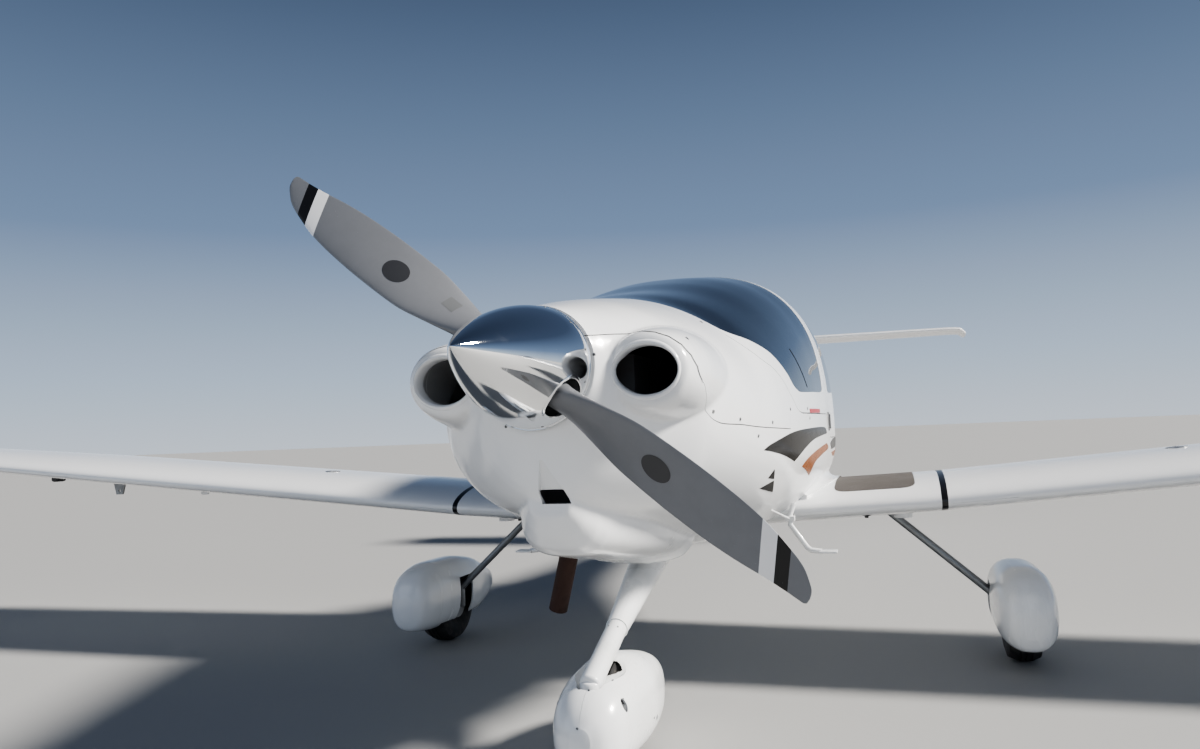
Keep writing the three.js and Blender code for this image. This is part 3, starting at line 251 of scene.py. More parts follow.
# Rim of a dial: radius and height. Knobs of the panel: place across, place up, radius.
DIAL_RIM = ((0.024, -0.004), (0.024, 0.010), (0.029, 0.010), (0.033, 0.004), (0.033, -0.004))
PANEL_KNOBS = ((-0.09, -0.15, 0.013), (-0.03, -0.15, 0.013), (0.03, -0.15, 0.013), (0.40, -0.05, 0.016),
               (-0.40, -0.05, 0.016))
CONSOLE_OUTLINE = ((1.780, 0.669), (1.780, 0.815), (1.860, 0.850), (2.420, 0.850), (2.420, 0.669))
LEVER_X = (-0.030, 0.0, 0.030)
STICK_X = 0.270
SEAT_SHELL = ((2.140, 0.690), (2.135, 0.796), (2.150, 0.810), (2.515, 0.772), (2.582, 0.850), (2.705, 1.395),
              (2.735, 1.415), (2.762, 1.395), (2.640, 0.830), (2.600, 0.690))
SEAT_CUSHION = ((2.144, 0.812), (2.134, 0.850), (2.152, 0.880), (2.498, 0.838), (2.510, 0.780))
SEAT_BACK = ((2.534, 0.866), (2.578, 0.856), (2.698, 1.385), (2.664, 1.388))
SEAT_HEADREST = ((2.682, 1.412), (2.716, 1.404), (2.744, 1.500), (2.710, 1.510))
SEAT_X = (0.075, 0.505)
BENCH_SHELL = ((3.066, 0.740), (3.060, 0.900), (3.075, 0.914), (3.445, 0.868), (3.487, 0.930), (3.608, 1.400),
               (3.628, 1.415), (3.645, 1.400), (3.520, 0.920), (3.500, 0.740))
BENCH_CUSHION = ((3.074, 0.918), (3.064, 0.960), (3.084, 0.992), (3.425, 0.944), (3.446, 0.876))
BENCH_BACK = ((3.448, 0.968), (3.482, 0.946), (3.600, 1.395), (3.568, 1.400))
BENCH_HEADREST = ((3.584, 1.418), (3.614, 1.410), (3.636, 1.470), (3.606, 1.480))
BENCH_X = (0.018, 0.455)
PAD_REACH = 0.022
VENTRAL_OUTLINE = ((6.700, 1.035), (7.420, 1.060), (7.380, 0.860), (7.300, 0.800), (6.980, 0.810))

# Side flashes, as the upper and lower edges of each in side view.
DARK_FLASH = (((1.224, 1.027), (1.305, 1.049), (1.556, 1.082), (1.919, 1.093), (2.386, 1.093),
               (2.481, 1.064)),
              ((2.481, 1.064), (2.038, 1.048), (1.798, 1.018), (1.613, 0.971)),
              ((1.613, 0.971), (1.452, 1.000), (1.313, 1.018), (1.224, 1.027)))
WARM_FLASH = (((1.780, 0.943), (1.878, 0.971), (2.107, 0.999), (2.453, 1.019)),
              ((2.453, 1.019), (2.534, 0.993), (2.300, 0.974), (2.090, 0.947), (2.035, 0.893)),
              ((2.035, 0.893), (1.890, 0.925), (1.780, 0.943)))
FLASH_CHIPS = (((1.366, 0.924), (1.390, 0.954), (1.432, 0.917)),
               ((1.346, 0.889), (1.439, 0.911), (1.503, 0.865)))
DARK_TAIL = (((2.640, 1.012), (2.863, 1.036), (3.400, 1.052), (4.300, 1.090), (5.300, 1.120), (6.200, 1.142)),
             ((6.200, 1.142), (5.300, 1.092), (4.300, 1.048), (3.400, 1.000), (2.863, 0.984), (2.711, 0.984)))
WARM_TAIL = (((2.740, 0.966), (3.400, 0.984), (4.300, 1.030), (5.300, 1.076), (6.000, 1.108)),
             ((6.000, 1.108), (5.300, 1.064), (4.300, 1.006), (3.400, 0.956), (2.814, 0.941)))
CANOPY_TAG = ((1.935, 1.156), (1.935, 1.173), (2.250, 1.175), (2.250, 1.158))
WALKWAY = ((2.310, 0.690), (2.315, 1.035), (3.300, 1.020), (3.230, 0.700))
FILM = 0.0014
DRAIN_X = 0.825
# Blade aerial: height above its foot, chord, sweep.
AERIAL_ROWS = ((-0.02, 0.150, 0.0), (0.10, 0.110, 0.055), (0.235, 0.060, 0.120), (0.25, 0.030, 0.142))
SLOT_TURN = 0.7
VENT_EDGE = ((1.861, 1.416), (1.971, 1.262), (1.975, 1.266), (1.865, 1.420))

# Quarter-turn fasteners on the port flank; the other flank has the same.
COWL_FASTENERS = ((0.349, 1.155, 1.475), (0.407, 0.653, 1.371), (0.443, 0.823, 1.157), (0.496, 0.994, 1.132),
                  (0.560, 1.287, 1.120), (0.527, 1.154, 1.075), (0.596, 1.534, 1.168), (0.633, 1.917, 1.134))
NOSE_SCREWS = ((0.180, 0.513, 1.326), (-0.396, 0.764, 1.143), (-0.092, 0.508, 1.135))
FAIRING_SCREWS = ((0.009, 0.836, 0.340), (0.064, 0.921, 0.346), (-0.005, 0.766, 0.216), (0.141, 1.121, 0.148),
                  (-0.141, 1.121, 0.148), (0.118, 0.886, 0.276), (0.118, 0.886, 0.216))

HULL_POINTS = 144
SIDES = (("port", 1), ("starboard", -1))
ACROSS = Vector((1, 0, 0))

CAMERA_PLACE = (0.960, -1.857, 1.108)
# Yaw, pitch and roll in degrees.
CAMERA_TURN = (17.89, 3.70, -2.285)
CAMERA_LENS = 27
EXPOSURE = 0.66

# The studio's walls: sine of the height above the horizon, and colour.
BACKDROP = ((0.0, (0.37, 0.41, 0.46)), (1.0, (0.018, 0.026, 0.045)), (0.07, (0.28, 0.34, 0.42)),
            (0.22, (0.12, 0.17, 0.26)), (0.50, (0.040, 0.058, 0.098)))

# Geometry

def at(x, s, z):
    """A point from its x, station and height."""
    return Vector((x, s - HALF_LENGTH, z))


class Flow:
    """A smooth curve through the rows of a table, by its first column, that doesn't overshoot."""

    def __init__(self, rows):
        table = np.array(rows, float)
        self.t = table[:, 0]
        self.y = table[:, 1:]
        h = np.diff(self.t)[:, None]
        d = np.diff(self.y, axis=0) / h
        self.m = np.zeros_like(self.y)
        self.m[0], self.m[-1] = d[0], d[-1]
        before, after = 2 * h[1:] + h[:-1], h[1:] + 2 * h[:-1]
        rising = d[:-1] * d[1:] > 0
        safe = np.where(rising, d[:-1], 1), np.where(rising, d[1:], 1)
        self.m[1:-1] = np.where(rising, (before + after) / (before / safe[0] + after / safe[1]), 0)

    def at(self, t):
        i = int(np.clip(np.searchsorted(self.t, t) - 1, 0, len(self.t) - 2))
        h = self.t[i + 1] - self.t[i]
        u = (t - self.t[i]) / h
        return ((1 + 2 * u) * (1 - u) ** 2 * self.y[i] + u * (1 - u) ** 2 * h * self.m[i]
                + u * u * (3 - 2 * u) * self.y[i + 1] + u * u * (u - 1) * h * self.m[i + 1])


HULL = Flow(HULL_ROWS)
CHEEK = Flow(CHEEK_ROWS)
KEEL = Flow(KEEL_ROWS)


def power(value, exponent):
    """A power that keeps the sign."""
    return math.copysign(abs(value) ** exponent, value)


def steps(low, high, count):
    """Evenly spaced values from low to high, both included."""
    return [low + (high - low) * i / count for i in range(count + 1)]


def turn(count):
    """Cosine and sine of evenly spaced angles round a circle."""
    return [(math.cos(2 * math.pi * i / count), math.sin(2 * math.pi * i / count)) for i in range(count)]


def flowing(points, count=5):
    """More points on a smooth line through the points."""
    ends = [points[0], *points, points[-1]]
    line = []
    for a, b, c, d in zip(ends, ends[1:], ends[2:], ends[3:]):
        for i in range(count):
            t = i / count
            line.append(tuple(
                0.5 * (2 * q + (r - p) * t + (2 * p - 5 * q + 4 * r - w) * t * t
                       + (3 * q - p - 3 * r + w) * t ** 3)
                for p, q, r, w in zip(a, b, c, d)))
    return [*line, tuple(points[-1])]


def moved_out(outline, distance):
    """A closed outline moved outwards, or inwards with a negative distance."""
    count = len(outline)
    area = sum(s * z2 - s2 * z for (s, z), (s2, z2) in zip(outline, [*outline[1:], outline[0]]))
    side = math.copysign(1, area)
    moved = []
    for i, (s, z) in enumerate(outline):
        before = Vector((s, z)) - Vector(outline[i - 1])
        after = Vector(outline[(i + 1) % count]) - Vector((s, z))
        normal_in = Vector((before.y, -before.x)).normalized() * side
        normal_out = Vector((after.y, -after.x)).normalized() * side
        middle = (normal_in + normal_out).normalized()
        reach = distance / max(middle.dot(normal_in), 0.4)
        moved.append((s + middle.x * reach, z + middle.y * reach))
    return moved


def rounded(outline, radius, count=5):
    """A closed outline with its corners rounded."""
    line = []
    for before, corner, after in zip([outline[-1], *outline], outline, [*outline[1:], outline[0]]):
        corner = Vector(corner)
        near = corner + (Vector(before) - corner).normalized() * radius
        far = corner + (Vector(after) - corner).normalized() * radius
        line += [tuple(near * (1 - t) ** 2 + corner * 2 * t * (1 - t) + far * t * t)
                 for t in steps(0, 1, count)]
    return line


def deselect():
    if bpy.context.mode != "OBJECT":
        bpy.ops.object.mode_set(mode="OBJECT")
    bpy.ops.object.select_all(action="DESELECT")


def pick(*pieces):
    deselect()
    for piece in pieces:
        piece.select_set(True)
    bpy.context.view_layer.objects.active = pieces[0]


def settled(piece):
    """Moves a piece's place into its mesh."""
    pick(piece)
    bpy.ops.object.transform_apply(location=True, rotation=True, scale=True)
    return piece


def outward(piece):
    """Turns a closed piece the right way out."""
    shape = bmesh.new()
    shape.from_mesh(piece.data)
    if shape.calc_volume(signed=True) < 0:
        bmesh.ops.reverse_faces(shape, faces=shape.faces)
    shape.to_mesh(piece.data)
    shape.free()
    return piece


def skin(rings, capped=True):
    """A grid laid on rings of equal count, its seam merged and its ends filled."""
    deselect()
    bpy.ops.mesh.primitive_grid_add(x_subdivisions=len(rings[0]), y_subdivisions=len(rings) - 1)
    piece = bpy.context.active_object
    points = [value for ring in rings for point in (*ring, ring[0]) for value in point]
    piece.location = (0, 0, 0)
    piece.data.vertices.foreach_set("co", points)
    bpy.ops.object.mode_set(mode="EDIT")
    bpy.ops.mesh.select_all(action="SELECT")
    bpy.ops.mesh.remove_doubles(threshold=1e-5)
    if capped:
        bpy.ops.mesh.select_all(action="DESELECT")
        bpy.ops.mesh.select_non_manifold()
        bpy.ops.mesh.fill_holes(sides=0)
        bpy.ops.mesh.select_all(action="SELECT")
    bpy.ops.mesh.normals_make_consistent(inside=False)
    bpy.ops.object.mode_set(mode="OBJECT")
    return outward(settled(piece))


def prism(outline, low_x=-WIDE, high_x=WIDE):
    """A side-view outline of stations and heights, extruded across the aircraft."""
    deselect()
    bpy.ops.mesh.primitive_circle_add(vertices=len(outline), fill_type="NGON")
    piece = bpy.context.active_object
    for vertex, (s, z) in zip(piece.data.vertices, outline):
        vertex.co = at(low_x, s, z)
    bpy.ops.object.mode_set(mode="EDIT")
    bpy.ops.mesh.select_all(action="SELECT")
    bpy.ops.mesh.extrude_region_move(TRANSFORM_OT_translate={"value": (high_x - low_x, 0, 0)})
    bpy.ops.mesh.select_all(action="SELECT")
    bpy.ops.mesh.normals_make_consistent(inside=False)
    bpy.ops.object.mode_set(mode="OBJECT")
    return outward(settled(piece))


def block(low, high, place=None, round_edges=0.0):
    """A box between two corners, in the axes of a placing matrix, with its edges rounded."""
    deselect()
    bpy.ops.mesh.primitive_cube_add(size=1)
    piece = bpy.context.active_object
    low, high = Vector(low), Vector(high)
    piece.matrix_world = Matrix.Translation((low + high) / 2) @ Matrix.Diagonal((*(high - low), 1))
    settled(piece)
    if round_edges:
        bpy.ops.object.mode_set(mode="EDIT")
        bpy.ops.mesh.select_all(action="SELECT")
        bpy.ops.mesh.bevel(offset=round_edges, segments=3, affect="EDGES")
        bpy.ops.object.mode_set(mode="OBJECT")
    if place is not None:
        piece.matrix_world = place
        settled(piece)
    return piece


def aim(direction):
    """A turn that carries +Z to a direction."""
    return Vector((0, 0, 1)).rotation_difference(Vector(direction).normalized()).to_matrix().to_4x4()


def rod(start, end, radius, end_radius=None, sides=48, round_edges=0.0):
    """A round bar from one point to another."""
    start, end = Vector(start), Vector(end)
    deselect()
    bpy.ops.mesh.primitive_cone_add(vertices=sides, radius1=radius, depth=(end - start).length,
                                    radius2=radius if end_radius is None else end_radius)
    piece = bpy.context.active_object
    piece.matrix_world = Matrix.Translation((start + end) / 2) @ aim(end - start)
    settled(piece)
    if round_edges:
        bpy.ops.object.mode_set(mode="EDIT")
        bpy.ops.mesh.select_mode(type="FACE")
        bpy.ops.mesh.select_all(action="DESELECT")
        shape = bmesh.from_edit_mesh(piece.data)
        for face in shape.faces:
            face.select_set(len(face.verts) > 4)
        bpy.ops.mesh.bevel(offset=round_edges, segments=3, affect="EDGES")
        bpy.ops.mesh.select_mode(type="VERT")
        bpy.ops.object.mode_set(mode="OBJECT")
    return piece


def bent_tube(points, radius, sides=16, smooth=True):
    """A round tube along a line through the points."""
    line = flowing(points, 6) if smooth else points
    directions = [Vector(b) - Vector(a) for a, b in zip(line, line[1:])]
    bends = [a.normalized() + b.normalized() for a, b in zip(directions, directions[1:])]
    directions = [directions[0], *bends, directions[-1]]
    rings = []
    across = directions[0].orthogonal().normalized()
    for point, direction in zip(line, directions):
        direction = direction.normalized()
        across = (across - direction * across.dot(direction)).normalized()
        up = direction.cross(across)
        rings.append([Vector(point) + (across * c + up * n) * radius for c, n in turn(sides)])
    return skin(rings)


def turned(profile, centre, axis, count):
    """A closed profile of radii and distances, spun about an axis through a point."""
    deselect()
    bpy.ops.mesh.primitive_circle_add(vertices=len(profile))
    piece = bpy.context.active_object
    for vertex, (radius, along) in zip(piece.data.vertices, profile):
        vertex.co = (radius, 0, along)
    bpy.ops.object.mode_set(mode="EDIT")
    bpy.ops.mesh.select_all(action="SELECT")
    bpy.ops.mesh.spin(steps=count, angle=2 * math.pi, center=(0, 0, 0), axis=(0, 0, 1))
    bpy.ops.mesh.select_all(action="SELECT")
    bpy.ops.mesh.remove_doubles(threshold=1e-6)
    bpy.ops.mesh.normals_make_consistent(inside=False)
    bpy.ops.object.mode_set(mode="OBJECT")
    piece.matrix_world = Matrix.Translation(centre) @ aim(axis)
    return outward(settled(piece))


def changed(piece, kind, **settings):
    """A piece after one modifier is applied."""
    pick(piece)
    bpy.ops.object.modifier_add(type=kind)
    modifier = piece.modifiers[-1]
    for key, value in settings.items():
        setattr(modifier, key, value)
    bpy.ops.object.modifier_apply(modifier=modifier.name)
    return piece


def combined(piece, tool, operation, keep=False):
    """A piece joined with, cut by or cut down to a tool, which is then deleted."""
    changed(piece, "BOOLEAN", operation=operation, object=tool, solver="MANIFOLD")
    if not keep:
        bpy.data.objects.remove(tool)
    return piece


def cut(piece, *tools, keep=False):
    for tool in tools:
        combined(piece, tool, "DIFFERENCE", keep)
    return piece


def add(piece, *others):
    for other in others:
        combined(piece, other, "UNION")
    return piece


def within(piece, tool):
    return combined(piece, tool, "INTERSECT")


def copied(piece, mirrored=False):
    """A copy of a piece with its own mesh, at its place or across the middle plane."""
    pick(piece)
    bpy.ops.object.duplicate()
    twin = bpy.context.active_object
    if mirrored:
        twin.scale.x = -1
    return outward(settled(twin))


def joined(pieces):
    """Pieces that don't touch, as one object."""
    pick(*pieces)
    if len(pieces) > 1:
        bpy.ops.object.join()
    return settled(bpy.context.active_object)


def done(piece, name, finish, body="airframe", node=None, angle=35, slot=None):
    """Gives a finished piece its name, finish, shading and body, and hides the solid that it stands for."""
    piece.name = name
    piece.data.name = name
    piece.data.materials.clear()
    piece.data.materials.append(FINISHES[finish])
    pick(piece)
    bpy.ops.object.shade_smooth_by_angle(angle=math.radians(angle))
    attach(piece, body)
    if node:
        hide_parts(node)


def paired(piece, name, finish, body="airframe", node="", **options):
    """Finishes a port piece and its mirror image, with the side's name put into the other names."""
    twin = copied(piece, mirrored=True)
    for side, solid in (("starboard", twin), ("port", piece)):
        done(solid, name.format(side), finish, body.format(side), node.format(side), **options)
    return twin, piece


def moved(piece, shift):
    piece.location = shift
    return settled(piece)


def coat(host, region, thick):
    """A thin layer on the surface of a piece, inside a region."""
    layer = changed(within(copied(host), region), "DISPLACE", strength=thick, mid_level=0)
    return cut(layer, host, keep=True)


def film(hosts, outline, name, finish, body="airframe", low_x=0.2):
    """A thin coloured layer on both flanks of some pieces, inside a side-view outline."""
    layers = []
    for host in hosts:
        layer = moved(within(copied(host), prism(outline, low_x, 0.95)), (FILM, 0, 0))
        layers.append(cut(layer, host, keep=True))
    layers += [copied(layer, mirrored=True) for layer in layers]
    done(joined(layers), name, finish, body)


def surface(*pieces):
    """A search tree over the faces of some pieces."""
    shape = bmesh.new()
    for piece in pieces:
        shape.from_mesh(piece.data)
    tree = BVHTree.FromBMesh(shape)
    shape.free()
    return tree


def seated(tree, point):
    """The place on a surface nearest to a point, with Z outwards and X aft."""
    spot, normal, _, _ = tree.find_nearest(point)
    along = Vector((0, 1, 0)) - normal * normal.y
    along = along.normalized() if along.length > 0.1 else Vector((1, 0, 0))
    along = (along - normal * along.dot(normal)).normalized()
    return Matrix.Translation(spot) @ Matrix((along, normal.cross(along), normal)).transposed().to_4x4()


def fasteners(name, tree, points, body="airframe", radius=None):
    """Slotted heads set flush in a surface, each slot a thin black block of painted shade."""
    radius = radius or looks().fastener / 2
    heads, slots = [], []
    for point in points:
        place = seated(tree, point)
        heads.append(rod(place @ Vector((0, 0, -0.002)), place @ Vector((0, 0, 0.0011)), radius,
                         radius * 0.86, 24))
        # Painted shade: each slot is a thin black block standing on the head, not a recess.
        slots.append(block((-radius * 0.78, -radius * 0.24, 0.0004),
                           (radius * 0.78, radius * 0.24, 0.0016),
                           place @ Matrix.Rotation(SLOT_TURN, 4, "Z")))
    done(joined(heads), f"{name}_heads", "bare_steel", body)
    done(joined(slots), f"{name}_slots", "black_film", body)


def flanked(points):
    """Points on both flanks, a little outside the surface."""
    return [at(side * (x + 0.012), s, z) for x, s, z in points for side in (1, -1)]


def edged(edges):
    """A closed outline from smooth edges that meet in corners."""
    return [point for edge in edges for point in flowing(edge)[:-1]]


# Shapes that several pieces share

def hull(low, high, inset=0.0, step=0.035):
    """The fuselage's outer form between two stations, moved inwards by inset."""
    rings = []
    for s in steps(low, high, max(2, round((high - low) / step))):
        half, beam, top, bottom, upper, lower = HULL.at(s)
        ring = []
        for c, n in turn(HULL_POINTS):
            exponent = 2 / (upper if n >= 0 else lower)
            rise = (top if n >= 0 else 2 * beam - bottom) - beam
            ring.append(at((half - inset) * power(c, exponent), s,
                           beam + (rise - inset) * power(n, exponent)))
        rings.append(ring)
    return skin(rings)


def shell(low, high, outer=0.0, inner=SKIN):
    """A hollow length of the fuselage's form, between two depths below its surface."""
    return cut(hull(low, high, outer), hull(low - 0.01, high + 0.01, inner))


def oval_ring(s, x, z, wide, high, count=64):
    return [at(x + wide * c, s, z + high * n) for c, n in turn(count)]


def cheek(side, inset=0.0, start=0.556):
    rings = []
    for s in [*steps(start, 0.62, 8), *steps(0.64, 1.3, 16)]:
        x, z, wide, high = CHEEK.at(s)
        rings.append(oval_ring(s, side * x, z, wide - inset, high - inset))
    return skin(rings)


def keel(inset=0.0):
    """The deep middle of the lower cowl, or its hollow when it is moved inwards by inset."""
    rings = []
    start, end = (0.64, 1.44) if inset else (0.59, KEEL_END)
    for s in steps(start, end, 20):
        half, spring, bottom = KEEL.at(min(s, KEEL_END))
        arc = [at((half - inset) * power(math.cos(a), 0.72), s,
                  spring - (spring - bottom - inset) * math.sin(a) ** 0.72) for a in steps(0, math.pi, 32)]
        rings.append([at(half - inset, s, KEEL_TOP - inset), *arc, at(inset - half, s, KEEL_TOP - inset)])
    return skin(rings)


def aerofoil(thickness, camber, count=28):
    """Section outline in chords, from the trailing edge over the top and back under."""
    upper, lower = [], []
    crown = 0.4
    for i in range(count + 1):
        x = (1 - math.cos(i / count * math.pi)) / 2
        half = 5 * thickness * (0.2969 * math.sqrt(x) - 0.126 * x - 0.3516 * x ** 2
                                + 0.2843 * x ** 3 - 0.1 * x ** 4)
        if x < crown:
            mean = camber / crown ** 2 * (2 * crown * x - x * x)
        else:
            mean = camber / (1 - crown) ** 2 * (1 - 2 * crown + 2 * crown * x - x * x)
        upper.append((x, mean + half + 0.001))
        lower.append((x, mean - half - 0.001))
    return [*upper[::-1], *lower[1:]]


def wing_ring(row):
    x, s, chord, z, thick, lean = row
    return [at(x - h * chord * math.sin(lean), s + part * chord, z + h * chord * math.cos(lean))
            for part, h in aerofoil(thick, CAMBER)]


def straight_row(x):
    """Wing row between the joint and the start of the tip, where the edges are straight."""
    low, high = (WING_ROWS[0], WING_ROWS[1]) if x < WING_ROWS[1][0] else (WING_ROWS[1], WING_ROWS[2])
    t = (x - low[0]) / (high[0] - low[0])
    return tuple(a + (b - a) * t for a, b in zip(low, high))


def wing_point(x, part, drop=0.0):
    """Point of the wing's camber line at a part of its chord."""
    _, s, chord, z, _, _ = straight_row(x)
    mean = CAMBER / 0.36 * (0.2 + 0.8 * part - part * part)
    return at(x, s + part * chord, z + mean * chord - drop)


def whole_wing():
    rows = [straight_row(x) for x in (*steps(JOINT_X, 3.9, 12), *steps(4.1, 5.56, 8))]
    reach = [0.0]
    for a, b in zip(WING_ROWS[2:], WING_ROWS[3:]):
        reach.append(reach[-1] + math.hypot(b[0] - a[0], b[3] - a[3]))
    tip = Flow([(d, *row) for d, row in zip(reach, WING_ROWS[2:])])
    rows += [tuple(tip.at(d)) for d in steps(0, reach[-1], 24)[1:]]
    return skin([wing_ring(row) for row in rows])


def split_off(whole, a, b, radii, clearance, end_clearance, depth, thickness):
    """Parts a hinged surface from a solid: the fixed and the moving solid."""
    along = (b - a).normalized()
    length = (b - a).length
    aft = Vector((0, 1, 0))
    back = (aft - along * aft.dot(along)).normalized()
    up = along.cross(back)
    place = Matrix.Translation(a) @ Matrix((along, back, up)).transposed().to_4x4()
    half = thickness / 2
    front = 0 if radii else clearance
    keeper = block((end_clearance, front, -half), (length - end_clearance, depth + front, half), place)
    pocket = block((0, 0, -half), (length, depth, half), place)
    if radii:
        near, far = a + along * end_clearance, b - along * end_clearance
        add(keeper, rod(near, far, radii[0], radii[1]))
        add(pocket, rod(a, b, radii[0] + clearance, radii[1] + clearance))
    moving = copied(whole)
    return cut(whole, pocket), within(moving, keeper)


def fairing(rows, x, inset=0.0, bulges=MAIN_FAIRING_BULGES):
    """Form of a wheel fairing about a middle plane."""
    flow = Flow(rows)
    rings = []
    near, far = rows[0][0], rows[-1][0]
    for u in steps(0, math.pi, 40):
        s = near + (far - near) * (1 - math.cos(u)) / 2
        half, top, bottom = flow.at(s)
        middle, tall = (top + bottom) / 2, (top - bottom) / 2
        ring = []
        for c, n in turn(64):
            bulge = bulges[0] if n > 0 else bulges[1]
            ring.append(at(x + (half - inset) * power(c, bulge), s,
                           middle + (tall - inset) * power(n, bulge)))
        rings.append(ring)
    return skin(rings)


SHAFT = Vector((0, -math.cos(SHAFT_TILT), math.sin(SHAFT_TILT)))
SPINNER_TIP = at(0, 0, SPINNER_TIP_Z)
UP_SHAFT = -ACROSS.cross(SHAFT)
BLADE_AXIS = ACROSS * math.cos(PROP_ANGLE) + UP_SHAFT * math.sin(PROP_ANGLE)


def shaft_point(distance):
    return SPINNER_TIP - SHAFT * distance


HUB = shaft_point(HUB_DISTANCE)
EXHAUST_LINE = (at(-0.120, 1.150, 0.830), at(-0.188, 1.235, 0.650), at(-0.246, 1.270, 0.470))


def leg_point(s):
    """A point of the nose leg's axis."""
    return at(0, s, 0.376 + LEG_SLOPE * (s - 1.06))


def canopy_outline(grow=0.0):
    front = flowing(CANOPY_FRONT[1:])
    rear = [(CANOPY_HINGE[0] + math.sqrt(CANOPY_REACH ** 2 - (z - CANOPY_HINGE[1]) ** 2), z)
            for z in steps(SILL, 1.9, 24)]
    return moved_out([CANOPY_FRONT[0], *front, *rear, (2.54, FAR)], grow)


def flowing_edge(edge, grow=0.0):
    return moved_out([edge[0], *flowing(edge[1:-1]), edge[-1]], grow)


# Finishes

class Socket:
    """An output socket that arithmetic works on."""

    def __init__(self, finish, socket):
        self.finish = finish
        self.socket = socket

    def join(self, operation, *values):
        inputs = dict(enumerate((self, *values)))
        return self.finish.node("ShaderNodeMath", {"operation": operation}, inputs)[0]

    def __add__(self, other):
        return self.join("ADD", other)

    def __sub__(self, other):
        return self.join("SUBTRACT", other)

    def __mul__(self, other):
        return self.join("MULTIPLY", other)

    def __rsub__(self, other):
        return self.finish.node("ShaderNodeMath", {"operation": "SUBTRACT"}, {0: other, 1: self})[0]

    def __gt__(self, other):
        return self.join("GREATER_THAN", other)

    __radd__ = __add__
    __rmul__ = __mul__

    def size(self):
        return self.join("ABSOLUTE")

    def kept(self):
        """Held between 0 and 1."""
        return self.finish.node("ShaderNodeClamp", {}, {0: self})[0]

    def rising(self, low, high):
        """0 below low, 1 above high, smooth between."""
        return self.finish.node("ShaderNodeMapRange", {"interpolation_type": "SMOOTHSTEP"},
                                {"Value": self, "From Min": low, "From Max": high})[0]


SOCKETS = {"ior": "IOR", "coat_weight": "Coat Weight", "coat_roughness": "Coat Roughness",
           "sheen_weight": "Sheen Weight", "sheen_roughness": "Sheen Roughness"}


class Finish:
    """A material with one surface shader and the nodes that feed it."""

    def __init__(self, name, colour, roughness, metallic=0.0, **fixed):
        self.material = bpy.data.materials.new(name)
        self.material.use_nodes = True
        self.tree = self.material.node_tree
        self.shader = self.tree.nodes["Principled BSDF"]
        self.colour = (*colour, 1)
        self.set("Base Color", self.colour)
        self.set("Roughness", roughness)
        self.set("Metallic", metallic)
        for key, value in fixed.items():
            self.set(SOCKETS[key], value)

    def set(self, name, value):
        self.feed(self.shader.inputs[name], value)

    def feed(self, socket, value):
        if isinstance(value, Socket):
            self.tree.links.new(value.socket, socket)
        else:
            socket.default_value = value

    def node(self, kind, settings, inputs):
        node = self.tree.nodes.new(kind)
        for key, value in settings.items():
            setattr(node, key, value)
        for key, value in inputs.items():
            self.feed(node.inputs[key], value)
        return [Socket(self, output) for output in node.outputs]

    def place(self):
        """Object coordinates."""
        return self.node("ShaderNodeTexCoord", {}, {})[3]

    def axes(self):
        return self.node("ShaderNodeSeparateXYZ", {}, {0: self.place()})

    def noise(self, scale, detail, rough=0.5, stretch=(1, 1, 1)):
        where = self.node("ShaderNodeMapping", {}, {"Vector": self.place(), "Scale": stretch})[0]
        return self.node("ShaderNodeTexNoise", {}, {"Vector": where, "Scale": scale, "Detail": detail,
                                                    "Roughness": rough})[0]

    def cells(self, scale):
        return self.node("ShaderNodeTexVoronoi", {}, {"Vector": self.place(), "Scale": scale})[0]

    def mix(self, amount, first, second):
        """A colour between two colours."""
        node = self.tree.nodes.new("ShaderNodeMix")
        node.data_type = "RGBA"
        colours = [socket for socket in node.inputs if socket.type == "RGBA"]
        self.feed(node.inputs[0], amount)
        for socket, value in zip(colours, (first, second)):
            self.feed(socket, value if isinstance(value, Socket) else (*value[:3], 1))
        return Socket(self, [output for output in node.outputs if output.type == "RGBA"][0])

    def bump(self, height, distance, strength):
        self.set("Normal", self.node("ShaderNodeBump", {}, {"Height": height, "Distance": distance,
                                                            "Strength": strength})[0])


def scaled(colour, factor, lift=0.0):
    return tuple(c * factor + lift for c in colour)


def white_coat(name, colour):
    """Gloss paint with faint waves, a film of dust low down and thin rain streaks."""
    f = Finish(name, colour, 0.24, coat_weight=0.5, coat_roughness=0.08)
    _, _, z = f.axes()
    patches = f.noise(1.3, 5)
    streaks = f.noise(9.0, 4, 0.6, (1, 1, 0.12))
    low = 1 - z.rising(0.25, 1.0)
    dust = ((patches.rising(0.42, 0.75) * 0.25 + streaks.rising(0.5, 0.8) * 0.3) * (low * 0.75 + 0.12)).kept()
    worn = (*scaled(colour[:2], 0.62), colour[2] * 0.55)
    f.set("Base Color", f.mix(dust, colour, worn))
    f.set("Roughness", dust * 0.5 + patches * 0.06 + 0.17)
    f.bump(f.noise(6.0, 2) * 0.7 + f.noise(380.0, 1) * 0.012, 0.0025, 0.35)
    return f.material


def clear_tint(name, colour):
    """Smoked clear plastic: darker and glossier where it is seen at a slant."""
    f = Finish(name, colour, 0.03, ior=1.49, coat_weight=1.0, coat_roughness=0.02)
    slant = f.node("ShaderNodeLayerWeight", {}, {"Blend": 0.35})[1]
    smears = f.noise(5.0, 4, 0.6, (1, 1, 0.4)).rising(0.55, 0.8)
    f.set("Alpha", (slant * 0.16 + 0.80 + smears * 0.03).kept())
    f.set("Roughness", smears * 0.05 + 0.02)
    return f.material


